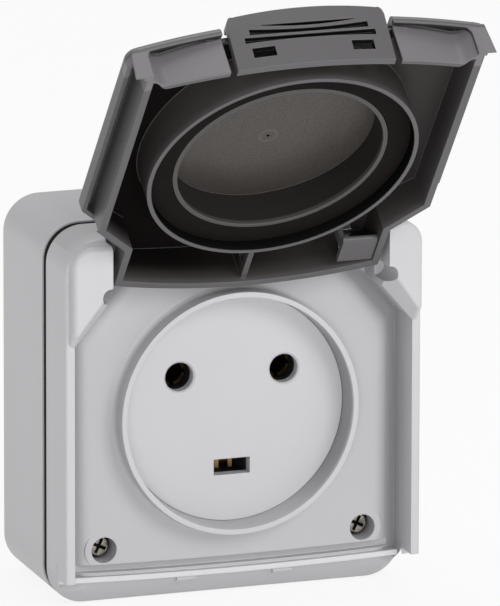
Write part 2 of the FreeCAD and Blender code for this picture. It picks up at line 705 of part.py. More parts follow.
def socket_face():
    plate = cylinder_y(WELL_R - FACE_GAP, 0, 0, FACE_Y, BASE_Y)
    skirt = tube_y(WELL_R - FACE_GAP, BASE_R + 0.2, 0, 0, FACE_Y + 1, BASE_FLANGE_Y)
    flange = tube_y(FACE_FLANGE_R, BASE_R + 0.2, 0, 0, FACE_FLANGE_Y, BASE_FLANGE_Y)
    ear_ring = ears(FACE_FLANGE_Y, BASE_FLANGE_Y).cut(cylinder_y(WELL_R - 1, 0, 0, -90, 0))
    body = fuse_all([plate, skirt, flange, ear_ring])
    for hole in face_holes(FACE_Y - 1, BASE_Y + 1):
        body = body.cut(hole)
    for side in (-1, 1):
        body = body.cut(cylinder_y(BASE_SCREW_R + 0.2, side * EAR_OFFSET, -side * EAR_OFFSET, -90, 0))
    return body


def face_seal():
    return tube_y(WELL_R + COLLAR_T, WELL_R + 0.4, 0, 0, COLLAR_BACK_Y, FACE_FLANGE_Y)


def contact_base():
    body = cylinder_y(BASE_R, 0, 0, BASE_Y, BASE_BACK_Y)
    flange = cylinder_y(FACE_FLANGE_R, 0, 0, BASE_FLANGE_Y, BASE_FLANGE_Y + BASE_FLANGE_T)
    body = fuse_all([body, flange, ears(BASE_FLANGE_Y, BASE_FLANGE_Y + BASE_FLANGE_T)])
    chamber_r = PIN_R + SLEEVE_T + CHAMBER_CLEAR
    for side in (-1, 1):
        x = side * PIN_SPACING / 2
        body = body.cut(cylinder_y(chamber_r, x, PIN_Z, BASE_Y - 1, BASE_Y + SLEEVE_LEN + 1))
        body = body.cut(cylinder_y(BASE_SCREW_R + 0.2, side * EAR_OFFSET, -side * EAR_OFFSET, -90, 0))
    half = SLOT_W / 2
    low = SLOT_Z - SLOT_H / 2 - 1
    high = SLOT_Z + SLOT_H / 2 + 1
    earth_back = BASE_Y + EARTH_LEN + CHAMBER_CLEAR
    body = body.cut(box(-half, half, BASE_Y - 1, earth_back, low, high))
    gap = STRIP_GAP
    strip_front = BASE_Y + EARTH_LEN - STRIP_T - gap
    half = STRIP_W / 2 + gap
    body = body.cut(box(-half, half, strip_front, earth_back, low, earth_strip_top() + gap))
    for x, z in terminal_places():
        body = body.cut(terminal_pocket(x, z))
    for side in (-1, 1):
        body = body.cut(strip_channel(side))
    return body


def terminal_places():
    return [(-TERMINAL_X, TERMINAL_Z), (TERMINAL_X, TERMINAL_Z), (0, TERMINAL_Z + EARTH_TERMINAL_RISE)]


def earth_strip_top():
    """Upper end of the strip that joins the earth leaves to their terminal."""
    return terminal_places()[2][1] - TERMINAL_H / 2


def terminal_pocket(x, z):
    half_x = TERMINAL_W / 2 + STRIP_GAP
    half_z = TERMINAL_H / 2 + STRIP_GAP
    return box(x - half_x, x + half_x, TERMINAL_Y - STRIP_GAP, BASE_BACK_Y + 1, z - half_z, z + half_z)


def strip_channel(side):
    x = side * PIN_SPACING / 2
    half = STRIP_W / 2 + STRIP_GAP
    return box(x - half, x + half, STRIP_Y - STRIP_GAP, STRIP_Y + STRIP_T + STRIP_GAP, PIN_Z, TERMINAL_Z)


def pin_contact(side):
    """Split sleeve for a round pin with a strip down to its terminal."""
    x = side * PIN_SPACING / 2
    y0 = BASE_Y + CONTACT_DROP
    sleeve = tube_y(PIN_R + SLEEVE_T, PIN_R, x, PIN_Z, y0, STRIP_Y)
    for turn in (0, 90):
        slit = box(-PIN_R - 2, PIN_R + 2, y0 - 1, STRIP_Y - SLEEVE_WHOLE, -SLEEVE_SLIT / 2, SLEEVE_SLIT / 2)
        slit.rotate(V(0, 0, 0), Y_AXIS, turn)
        slit.translate(V(x, 0, PIN_Z))
        sleeve = sleeve.cut(slit)
    half = STRIP_W / 2
    strip = box(x - half, x + half, STRIP_Y, STRIP_Y + STRIP_T, PIN_Z + half, TERMINAL_STRIP_Z)
    strip = strip.fuse(cylinder_y(PIN_R + SLEEVE_T, x, PIN_Z, STRIP_Y, STRIP_Y + STRIP_T))
    return fuse_all([sleeve, strip])


def earth_contact():
    """Two leaves behind the rectangular slot, joined at the back, with a strip up to the terminal."""
    y0 = BASE_Y + CONTACT_DROP
    y1 = BASE_Y + EARTH_LEN
    half = EARTH_GAP / 2
    low = SLOT_Z - SLOT_H / 2
    high = SLOT_Z + SLOT_H / 2
    shapes = [box(side * half, side * (half + EARTH_T), y0, y1, low, high) for side in (-1, 1)]
    shapes.append(box(-half - EARTH_T, half + EARTH_T, y1 - STRIP_T, y1, low, high))
    wide = STRIP_W / 2
    shapes.append(box(-wide, wide, y1 - STRIP_T, y1, low, earth_strip_top()))
    return fuse_all(shapes)


def terminal(x, z):
    """Screw terminal block with a wire bore along Z and a screw along Y."""
    body = box(x - TERMINAL_W / 2, x + TERMINAL_W / 2, TERMINAL_Y, TERMINAL_Y + TERMINAL_LEN,
               z - TERMINAL_H / 2, z + TERMINAL_H / 2)
    body = body.makeChamfer(0.5, edges_where(body, lambda e: e.BoundBox.YLength > 1))
    bore_y = TERMINAL_Y + TERMINAL_BORE_DROP
    body = body.cut(cylinder_z(TERMINAL_BORE_R, x, bore_y, z - TERMINAL_H, z + TERMINAL_H))
    return body.cut(cylinder_y(TERMINAL_SCREW_R, x, z, bore_y, BASE_BACK_Y))


def slotted_screw_y(radius, head_r, head_h, x, z, tip_y, under_head_y, direction, slots):
    """Screw along Y. direction is the way that the head faces: -1 towards the front, 1 towards the wall."""
    head_y = under_head_y + direction * head_h
    shank = cylinder_y(radius, x, z, tip_y, under_head_y)
    head = cylinder_y(head_r, x, z, under_head_y, head_y)
    head = head.makeChamfer(head_h * 0.25, edges_where(head, lambda e: flat_in_y(e, head_y)))
    screw = fuse_all([shank, head])
    for turn in range(slots):
        bottom = head_y - direction * head_h * 0.55
        half = SLOT_CUT_W / 2
        reach = head_r * 0.72
        slot = box(-reach, reach, bottom, head_y + direction, -half, half)
        slot.rotate(V(0, 0, 0), Y_AXIS, 90 * turn + 25)
        slot.translate(V(x, 0, z))
        screw = screw.cut(slot)
    return screw


def terminal_screws():
    shapes = []
    for x, z in terminal_places():
        under = TERMINAL_Y + TERMINAL_LEN
        tip = TERMINAL_Y + TERMINAL_BORE_DROP + 0.2
        screw = slotted_screw_y(TERMINAL_SCREW_R, TERMINAL_HEAD_R, TERMINAL_HEAD_H, x, z, tip, under, 1, 1)
        shapes.append(screw)
    return Part.makeCompound(shapes)


def base_screws():
    shapes = []
    for side in (-1, 1):
        under = BASE_FLANGE_Y + BASE_FLANGE_T
        shapes.append(slotted_screw_y(BASE_SCREW_R, BASE_SCREW_HEAD_R, BASE_SCREW_HEAD_H, side * EAR_OFFSET,
                                      -side * EAR_OFFSET, under - BASE_SCREW_LEN, under, 1, 2))
    return Part.makeCompound(shapes)


def cover_screws():
    shapes = []
    for side in (-1, 1):
        under = SCREW_HEAD_Y + SCREW_HEAD_H
        shapes.append(slotted_screw_y(SCREW_R, SCREW_HEAD_R, SCREW_HEAD_H, side * SCREW_X, SCREW_Z,
                                      under + SCREW_LEN, under, -1, 2))
    return Part.makeCompound(shapes)


def screw_seals():
    front = SCREW_SEAT_Y - SEAL_T
    right = tube_y(SCREW_BORE_R - 0.1, SCREW_R + 0.05, SCREW_X, SCREW_Z, front, SCREW_SEAT_Y)
    return Part.makeCompound([right, mirrored(right)])


# Cable entries

def cable_grommet():
    """Grommet in the lower wall of the box, flush outside, with a nose and a thin membrane inside."""
    outside = -HALF_H
    inside = outside + BOX_WALL
    top = inside + GROMMET_LIP_T
    body = fuse_all([cylinder_z(ENTRY_R, 0, ENTRY_Y, outside, top),
                     cylinder_z(ENTRY_R + GROMMET_LIP, 0, ENTRY_Y, inside, top)])
    wide = ENTRY_R - 1.5
    narrow = wide - GROMMET_TAPER
    base = V(0, ENTRY_Y, top)
    nose = Part.makeCone(wide, narrow, GROMMET_NOSE, base, Z_AXIS)
    wide -= GROMMET_T
    hollow = Part.makeCone(wide, narrow - GROMMET_T, GROMMET_NOSE - MEMBRANE_T, base, Z_AXIS)
    return body.fuse(nose).cut(hollow).cut(cylinder_z(wide, 0, ENTRY_Y, outside - 1, top))


# Lid, drawn closed

def crown(apex_y):
    """Large cylinder along Z whose front is the slightly crowned outside of the lid."""
    return Part.makeCylinder(LID_CROWN_R, 200, V(0, apex_y + LID_CROWN_R, -100), Z_AXIS)


def lid_side_points(half_x, neck_x, diagonal_sum, neck_z):
    """Right side of a lid outline from the hinge end down: neck, 45 degree corner and straight side."""
    return [V(neck_x, 0, neck_z), V(neck_x, 0, diagonal_sum - neck_x), V(half_x, 0, diagonal_sum - half_x)]


def mirrored_points(points):
    return [V(-p.x, p.y, p.z) for p in reversed(points)]


def arc_edge(start, middle, end):
    return Part.Arc(start, middle, end).toShape()


def lines_through(points):
    return [Part.makeLine(points[i], points[i + 1]) for i in range(len(points) - 1)]


def lid_outline(inset=0.0):
    """Outer outline of the lid, its corners tangent to the side and to the bowed free end."""
    diagonal_sum = LID_DIAGONAL_SUM - inset * math.sqrt(2)
    side = lid_side_points(HALF_W - inset, LID_NECK_X - inset, diagonal_sum, HINGE_END_SIDE - inset)
    radius = max(LID_CORNER_R - inset, 0.5)
    slope = 2 * math.atan((LID_END_MID - LID_END_SIDE) / (HALF_W - inset - radius))
    turn = math.pi / 2 - slope
    centre = V(HALF_W - inset - radius, 0, -LID_END_SIDE + inset + radius * math.sin(turn))
    foot = centre + V(radius, 0, 0)
    bend = centre + V(math.cos(turn / 2), 0, -math.sin(turn / 2)) * radius
    toe = centre + V(math.cos(turn), 0, -math.sin(turn)) * radius
    right = side + [foot]
    left = mirrored_points(right)
    edges = lines_through(right)
    edges.append(arc_edge(foot, bend, toe))
    edges.append(arc_edge(toe, V(0, 0, -LID_END_MID + inset), V(-toe.x, 0, toe.z)))
    edges.append(arc_edge(V(-toe.x, 0, toe.z), V(-bend.x, 0, bend.z), V(-foot.x, 0, foot.z)))
    edges += lines_through(left)
    edges.append(arc_edge(left[-1], V(0, 0, HINGE_END_MID - inset), right[0]))
    return Part.Wire(edges)


def skirt_outline(inset=0.0):
    """Outline of the inner skirt. Its free end is set back and meets the corners in an S-curve."""
    diagonal_sum = SKIRT_DIAGONAL_SUM - inset * math.sqrt(2)
    side = lid_side_points(SKIRT_X - inset, SKIRT_NECK_X - inset, diagonal_sum, HINGE_END_SIDE - inset)
    corner = V(SKIRT_X - inset, 0, -SKIRT_END_SIDE + inset)
    dip = V(SKIRT_END_DIP_X, 0, -SKIRT_END_DIP + inset)
    right = side + [corner]
    left = mirrored_points(right)
    edges = lines_through(right)
    shallow = (-SKIRT_END_SIDE + inset + dip.z) / 2
    middle = V((corner.x + dip.x) / 2, 0, shallow)
    edges.append(s_curve(corner, middle, dip))
    edges.append(arc_edge(dip, V(0, 0, -SKIRT_END_MID + inset), V(-dip.x, 0, dip.z)))
    edges.append(s_curve(V(-dip.x, 0, dip.z), V(-middle.x, 0, middle.z), V(-corner.x, 0, corner.z)))
    edges += lines_through(left)
    edges.append(arc_edge(left[-1], V(0, 0, HINGE_END_MID - inset), right[0]))
    return Part.Wire(edges)


def s_curve(start, middle, end):
    """Smooth curve that is level along X at both ends."""
    reach = (end.x - start.x) * 0.5
    curve = Part.BezierCurve()
    curve.setPoles([start, V(start.x + reach, 0, start.z), V(end.x - reach, 0, end.z), end])
    return curve.toShape()


def lid_cavity(outline, apex_offset=LID_T):
    """Space inside an outline, from under the crowned plate to in front of the skirt edge."""
    block = prism(outline, LID_TOP_Y - 5, LID_EDGE_Y + 5)
    return block.common(crown(LID_TOP_Y + apex_offset))


def lid_shell():
    """Crowned plate with its thin outer wall, the corner feet and the rounded hinge end."""
    plate = prism(lid_outline(), LID_TOP_Y - 1, LID_EDGE_Y).common(crown(LID_TOP_Y))
    plate = plate.makeFillet(LID_EDGE_R, edges_where(plate, is_crown_edge))
    plate = plate.common(hinge_end_limit())
    lip = box(-BODY_W, BODY_W, LID_LIP_Y, LID_EDGE_Y + 1, -LID_END_SIDE + FOOT_T + 0.4, 90)
    middle = box(-FOOT_X, FOOT_X, LID_LIP_Y, LID_EDGE_Y + 1, -90, 90)
    for side in (-1, 1):
        plate = plate.cut(box(side * FOOT_END_X, side * BODY_W, LID_LIP_Y, LID_EDGE_Y + 1, -90, 90))
    return plate.cut(lip).cut(middle)


def is_crown_edge(edge):
    bounds = edge.BoundBox
    at_crown = True
    for vertex in edge.Vertexes:
        crown_y = LID_TOP_Y + LID_CROWN_R - math.sqrt(LID_CROWN_R ** 2 - vertex.X ** 2)
        at_crown = at_crown and abs(vertex.Y - crown_y) < 1e-3
    return at_crown and bounds.ZMin < HINGE_Z - 1


def lid():
    shell = lid_shell()
    shell = shell.cut(lid_cavity(lid_outline(LID_SHELL_T)))
    recess = end_recess()
    shell = shell.cut(recess)
    skirt = prism(skirt_outline(), LID_TOP_Y + LID_T / 2, LID_EDGE_Y)
    skirt = skirt.cut(prism(skirt_outline(SKIRT_T), LID_TOP_Y, LID_EDGE_Y + 1))
    skirt = skirt.common(crown(LID_TOP_Y + ROOT_DROP))
    skirt = skirt.common(hinge_end_limit())
    body = shell.fuse(skirt)
    body = body.fuse(lid_rings())
    body = body.fuse(lid_ribs())
    body = body.cut(latch_slot())
    body = body.fuse(latch_bosses())
    body = body.cut(cylinder_x(LATCH_PIN_R, latch_pin_y(), -LATCH_PIN_S, -LATCH_PIN_X, LATCH_PIN_X))
    return body.cut(cylinder_x(PIN_ROD_R + PIN_RUN, HINGE_Y, HINGE_Z, -BODY_W, BODY_W))


def end_recess():
    """Sunk field of the free end between the latch and the corners, below the rim."""
    field = prism(lid_outline(-3), LID_TOP_Y - 5, LID_EDGE_Y + 1).common(crown(LID_TOP_Y + RECESS_DROP))
    field = field.cut(prism(skirt_outline(), -90, 0))
    return field.common(box(-FOOT_X, FOOT_X, -90, 0, -90, -30))


def lid_rings():
    """Outer and inner ring walls with the seal land between them and the domed floor of the cup."""
    base_y = LID_TOP_Y + LID_T / 2
    land_y = LID_EDGE_Y - SEAL_DROP - LID_SEAL_T
    outer = tube_y(RING_OUT_R, RING_OUT_R - RING_T, 0, 0, base_y, LID_EDGE_Y)
    inner = tube_y(RING_IN_R, RING_IN_R - RING_T, 0, 0, base_y, LID_EDGE_Y - RING_STEP)
    land = tube_y(RING_OUT_R - RING_T, RING_IN_R, 0, 0, base_y, land_y)
    sag_r = RING_IN_R - RING_T / 2
    dome_r = (sag_r ** 2 + CUP_DOME ** 2) / (2 * CUP_DOME)
    floor_y = LID_TOP_Y + LID_T
    dome = Part.makeSphere(dome_r, V(0, floor_y + CUP_DOME - dome_r, 0))
    dome = dome.common(cylinder_y(sag_r, 0, 0, base_y, floor_y + 5))
    rings = fuse_all([outer, inner, land, dome])
    return rings.common(crown(LID_TOP_Y + ROOT_DROP))


def lid_ribs():
    """Centre rib between the outer ring and the hinge end."""
    inside = prism(skirt_outline(SKIRT_T / 2), -90, 0)
    rib = box(-RIB_T / 2, RIB_T / 2, LID_TOP_Y + LID_T / 2, LID_EDGE_Y - RIB_DROP, RING_IN_R, 60)
    rib = rib.common(inside).cut(cylinder_y(RING_OUT_R - RING_T / 2, 0, 0, -90, 0))
    return rib.common(crown(LID_TOP_Y + ROOT_DROP)).common(hinge_end_limit())


def hinge_end_limit():
    """Everything below the hinge, and beyond it only what clears the cover as the lid turns."""
    below = box(-BODY_W, BODY_W, -90, 0, -90, HINGE_Z)
    return below.fuse(cylinder_x(HINGE_END_R, HINGE_Y, HINGE_Z, -BODY_W, BODY_W))


def latch_pin_y():
    return LID_EDGE_Y - LATCH_PIN_DROP


def latch_slot():
    """Opening for the latch through the free end."""
    return box(-SKIRT_END_X, SKIRT_END_X, -90, LID_EDGE_Y + 1, -90, -LATCH_SLOT_S)


def latch_bosses():
    """Blocks at both ends of the latch opening that carry the latch pin."""
    pin_y = latch_pin_y()
    end_x = LATCH_PIN_X + LATCH_BOSS_T
    low = -LATCH_PIN_S - LATCH_BOSS_T
    block = box(SKIRT_END_X, end_x, pin_y - LATCH_BOSS_H, pin_y + LATCH_BOSS_H, low, -LATCH_PIN_S + LATCH_BOSS_H)
    block = block.common(crown(LID_TOP_Y + ROOT_DROP))
    return Part.makeCompound([block, mirrored(block)])


def lid_seal():
    outer = RING_OUT_R - RING_T - SEAL_GAP
    inner = RING_IN_R + SEAL_GAP
    back = LID_EDGE_Y - SEAL_DROP - LID_SEAL_T
    return tube_y(outer, inner, 0, 0, back, back + LID_SEAL_T)


def hinge_pins():
    """A short pin on the left and a longer one on the right, pressed into the shoulders."""
    reach = SHOULDER_IN_X + PIN_SEAT
    left = cylinder_x(PIN_ROD_R, HINGE_Y, HINGE_Z, -reach, -PIN_SHORT_X)
    return Part.makeCompound([left, cylinder_x(PIN_ROD_R, HINGE_Y, HINGE_Z, PIN_LONG_X, reach)])


def friction_clip():
    """Flat spring curled round the right pin, with a leg that ends in the lid's plate."""
    inner = PIN_ROD_R + PIN_RUN
    outer = inner + CLIP_T
    x1 = CLIP_X + CLIP_W
    curl = cylinder_x(outer, HINGE_Y, HINGE_Z, CLIP_X, x1)
    foot_z = HINGE_Z - CLIP_LEG
    leg = box(CLIP_X, x1, HINGE_Y - outer, HINGE_Y - inner, foot_z, HINGE_Z)
    foot = box(CLIP_X, x1, LID_TOP_Y + LID_T, HINGE_Y - inner, foot_z, foot_z + CLIP_T)
    gap_z = HINGE_Z - outer - 1
    gap = box(CLIP_X - 1, x1 + 1, HINGE_Y - inner, HINGE_Y + outer + 1, gap_z, HINGE_Z - inner * 0.5)
    body = fuse_all([curl, leg, foot]).cut(gap).common(crown(LID_TOP_Y + LID_T + LEG_GAP))
    return body.cut(cylinder_x(inner, HINGE_Y, HINGE_Z, CLIP_X - 1, x1 + 1))


def spring_cover():
    """Small clip-in cover over the spring, flush under the skirt edge at the right of the hinge."""
    x1 = SKIRT_NECK_X - SKIRT_T - BLOCK_GAP
    y1 = LID_EDGE_Y - BLOCK_DROP
    z1 = HINGE_END_SIDE - SKIRT_T - BLOCK_GAP
    z0 = z1 - BLOCK_LEN
    plate = box(BLOCK_X, x1, y1 - BLOCK_T, y1, z0, z1)
    front_low = edges_where(plate, lambda e: flat_in_y(e, y1) and e.BoundBox.ZMax < z0 + 0.01)
    plate = plate.makeFillet(BLOCK_T * 0.8, front_low)
    leg_x = BLOCK_X + BLOCK_LEG_T
    leg = box(BLOCK_X, leg_x, LID_TOP_Y + LID_T, y1 - BLOCK_T / 2, z0 + BLOCK_T, z0 + BLOCK_T + BLOCK_LEG_W)
    return plate.fuse(leg.common(crown(LID_TOP_Y + LID_T + LEG_GAP)))


# Latch, drawn closed

def latch_face_z(x, n):
    """Height of the latch's outer face, below the socket centre, at a depth n above the skirt edge."""
    sag = (SKIRT_END_MID - SKIRT_END_DIP) / SKIRT_END_DIP_X ** 2
    return -(SKIRT_END_MID - sag * x * x + LATCH_LEAN * n / LATCH_DEPTH)


def latch_plate(front, back):
    """Curved and leaning plate between two distances behind its outer face."""
    sections = []
    for n in (0.0, LATCH_DEPTH):
        y = LID_EDGE_Y - n
        points = []
        for depth in (front, back):
            points.append([V(x, y, latch_face_z(x, n) + depth) for x in (-LATCH_X, 0, LATCH_X)])
        near, far = points
        edges = [arc_edge(near[0], near[1], near[2]), Part.makeLine(near[2], far[2]),
                 arc_edge(far[2], far[1], far[0]), Part.makeLine(far[0], near[0])]
        sections.append(Part.Wire(edges))
    return Part.makeLoft(sections, True, True)


def latch_front_mask():
    """Outline of the latch seen from the free end: square below, large rounded corners above."""
    top_y = LID_EDGE_Y - LATCH_DEPTH
    low = V(LATCH_X, LID_EDGE_Y, 0)
    side = V(LATCH_X, top_y + LATCH_CORNER_H, 0)
    bend = V(LATCH_X - LATCH_CORNER_W / 4, top_y + LATCH_CORNER_H / 2, 0)
    shoulder_end = V(LATCH_X - LATCH_CORNER_W, top_y + LATCH_TOP_SAG, 0)
    right = [low, side, bend, shoulder_end]
    left = [V(-p.x, p.y, 0) for p in right]
    edges = [Part.makeLine(left[0], low), Part.makeLine(low, side),
             arc_edge(side, bend, shoulder_end),
             arc_edge(shoulder_end, V(0, top_y, 0), left[3]),
             arc_edge(left[3], left[2], left[1]),
             Part.makeLine(left[1], left[0])]
    face = Part.Face(Part.Wire(edges))
    face.translate(V(0, 0, -60))
    return face.extrude(V(0, 0, 40))


def grip_groove(length, height, n, bow):
    """Lens-shaped cutter across the latch at depth n above the skirt edge."""
    y = LID_EDGE_Y - n
    a = V(-length / 2, y + bow, 0)
    b = V(length / 2, y + bow, 0)
    lower = arc_edge(a, V(0, y + height / 2, 0), b)
    upper = arc_edge(b, V(0, y - height / 2, 0), a)
    face = Part.Face(Part.Wire([lower, upper]))
    face.translate(V(0, 0, latch_face_z(0, n) - 3))
    cutter = face.extrude(V(0, 0, 7 + GRIP_DEPTH))
    return cutter.common(latch_plate(-3, GRIP_DEPTH))


def latch():
    plate = latch_plate(0, LATCH_T)
    top_y = LID_EDGE_Y - LATCH_DEPTH
    cap = box(-LATCH_X, LATCH_X, top_y - 2, top_y + 2 * LATCH_TOP_T, -LATCH_TOP_S, -60)
    cap = cap.cut(cylinder_z(LID_CROWN_R - LATCH_TOP_T, 0, top_y + LID_CROWN_R, -80, 0))
    cap = cap.cut(latch_outside())
    body = plate.fuse(cap).common(latch_front_mask())
    pin_y = latch_pin_y()
    for side in (-1, 1):
        lug_z = -LATCH_PIN_S + LUG_R
        face_z = latch_face_z(WINDOW_X, LATCH_PIN_DROP) + LATCH_T / 3
        lug = box(side * LUG_X, side * (LUG_X + LUG_W), pin_y - LUG_R, pin_y + LUG_R, lug_z, face_z)
        body = body.fuse(lug)
        x0 = side * (WINDOW_X - WINDOW_W / 2)
        x1 = side * (WINDOW_X + WINDOW_W / 2)
        y1 = LID_EDGE_Y - WINDOW_DROP
        body = body.cut(box(x0, x1, y1 - WINDOW_H, y1, -60, -38))
    for length, height, n, bow in GRIPS:
        body = body.cut(grip_groove(length, height, n, bow))
    return body.cut(cylinder_x(LATCH_PIN_R + LATCH_PIN_RUN, pin_y, -LATCH_PIN_S, -BODY_W, BODY_W))


def latch_outside():
    """Everything beyond the outer face of the latch."""
    return latch_plate(-20, 0)


def latch_pin():
    return cylinder_x(LATCH_PIN_R, latch_pin_y(), -LATCH_PIN_S, -LATCH_PIN_X, LATCH_PIN_X)


def latch_spring():
    """Leaf bent to a C between the edge of the lid's plate and the top of the latch."""
    y = LID_TOP_Y + LID_T * 0.2
    near = -LATCH_SLOT_S - LEAF_GAP
    far = -LATCH_TOP_S + LEAF_GAP
    radius = (near - far) / 2
    middle = (near + far) / 2
    half = LEAF_W / 2
    body = cylinder_x(radius, y, middle, -half, half)
    body = body.cut(cylinder_x(radius - LEAF_T, y, middle, -half - 1, half + 1))
    mouth = radius * 0.7
    return body.cut(box(-half - 1, half + 1, y + radius * 0.3, y + radius + 1, middle - mouth, middle + mouth))


def opened(shape):
    """Swings a piece of the closed lid to its open place."""
    turned = shape.copy()
    turned.rotate(V(0, HINGE_Y, HINGE_Z), X_AXIS, -OPEN_ANGLE)
    return turned


def build():
    os.makedirs("parts", exist_ok=True)
    places = terminal_places()
    fixed = {
        "back_box": back_box(),
        "box_gasket": box_gasket(),
        "front_cover": front_cover(),
        "cover_screws": cover_screws(),
        "screw_seals": screw_seals(),
        "socket_face": socket_face(),
        "face_seal": face_seal(),
        "contact_base": contact_base(),
        "live_contact": pin_contact(1),
        "neutral_contact": pin_contact(-1),
        "earth_contact": earth_contact(),
        "neutral_terminal": terminal(*places[0]),
        "live_terminal": terminal(*places[1]),
        "earth_terminal": terminal(*places[2]),
        "terminal_screws": terminal_screws(),
        "base_screws": base_screws(),
        "cable_grommet": cable_grommet(),
        "hinge_pins": hinge_pins(),
    }
    swinging = {
        "lid": lid(),
        "lid_seal": lid_seal(),
        "friction_clip": friction_clip(),
        "spring_cover": spring_cover(),
        "latch": latch(),
        "latch_pin": latch_pin(),
        "latch_spring": latch_spring(),
    }
    for name, shape in fixed.items():
        write(name, shape)
    for name, shape in swinging.items():
        write(name, opened(shape))


build()
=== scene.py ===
"""Looks of the outdoor weatherproof socket: materials, finished pieces, floor, soft light and camera."""
import bmesh
import bpy
import math
from mathutils import Matrix, Vector

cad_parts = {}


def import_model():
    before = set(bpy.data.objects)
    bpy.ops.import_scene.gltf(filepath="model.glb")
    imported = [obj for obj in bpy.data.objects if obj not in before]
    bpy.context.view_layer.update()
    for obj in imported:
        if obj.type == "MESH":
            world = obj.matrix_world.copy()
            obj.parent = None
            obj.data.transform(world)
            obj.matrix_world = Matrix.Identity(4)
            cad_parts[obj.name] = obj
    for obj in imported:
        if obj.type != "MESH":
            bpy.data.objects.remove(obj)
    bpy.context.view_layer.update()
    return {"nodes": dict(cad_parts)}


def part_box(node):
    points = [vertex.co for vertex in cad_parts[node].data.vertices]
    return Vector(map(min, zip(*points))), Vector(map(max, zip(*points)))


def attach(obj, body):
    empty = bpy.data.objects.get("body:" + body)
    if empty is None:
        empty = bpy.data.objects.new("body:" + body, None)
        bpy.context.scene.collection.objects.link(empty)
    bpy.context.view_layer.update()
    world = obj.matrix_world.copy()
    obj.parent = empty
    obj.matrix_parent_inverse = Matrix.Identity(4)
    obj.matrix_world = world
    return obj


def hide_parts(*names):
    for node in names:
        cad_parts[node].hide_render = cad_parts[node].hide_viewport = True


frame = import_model()
nodes = frame["nodes"]

MM = 0.001
HINGE_Y = -55.45 * MM
HINGE_Z = 44.2 * MM
OPEN = math.radians(141)

# Measures in mm. Places on the lid and latch are given as if the lid were closed.
FLANGE = -56.0            # front of the cover's side flanges; drops are measured back from it
COVER_HALF = 50.0         # half of the cover's width
SCREW_FACE = -42.9        # outer face of the cover screws' heads
SKIRT_EDGE = -50.7        # edge of the closed lid's skirt; heights are measured outward from it
END_MID = 44.5            # free end of the lid below the socket's centre, in the middle
END_SIDE = 39.6           # the same at END_REACH from the middle
END_REACH = 40.0
END_BOW = (END_MID - END_SIDE) / END_REACH ** 2
CROWN_HEIGHT = 14.8       # outer face of the lid in the middle; it falls by x squared over CROWN_SPAN
CROWN_SPAN = 606.0
PLATE = 2.0               # thickness of the lid's plate
CUP_R = 29.2              # inside of the lid's inner ring
RING_R = 36.9             # outside of its outer ring
LATCH_DEPTH = 15.8
LATCH_LEAN = 2.0          # the latch's face leans out by this much over its depth

# Colours, linear
LIGHT_GREY = (0.572, 0.564, 0.580)
CHARCOAL = (0.098, 0.094, 0.098)
BLACK_RUBBER = (0.012, 0.011, 0.011)
SEAL_BROWN = (0.0075, 0.0058, 0.0050)
# Painted shade inside the lid; the cup floor's grain runs between two greys as dark as that shade
INSIDE_SHADE = (0.062, 0.056, 0.053)
CUP_FLOOR_DARK = (0.052, 0.044, 0.039)
CUP_FLOOR_PALE = (0.078, 0.067, 0.058)
# Painted highlight ring round the moulding gate's dimple
GATE_RING_HIGHLIGHT = (0.12, 0.11, 0.10)
# Painted shadow under the lid's rim
RIM_SHADOW_LINE = (0.02, 0.02, 0.02)
# Painted shade on the walls of the lid's sunk fields
FIELD_WALL_SHADE = (0.006, 0.005, 0.005)
ZINC = (0.34, 0.315, 0.28)
STEEL = (0.42, 0.42, 0.43)
BRASS = (0.36, 0.235, 0.10)
BLACK = (0.0, 0.0, 0.0)
WHITE = (1.0, 1.0, 1.0, 1.0)

# What all plastics, all rubbers or all metals share
PLASTIC_EDGE_MM = 0.35
PLASTIC_SPECULAR = 0.5
RUBBER_EDGE_MM = 0.3
RUBBER_SPECULAR = 0.12
METAL_EDGE_MM = 0.15
METAL_LINES = (4000.0, 300.0, 4000.0)


# Node helpers

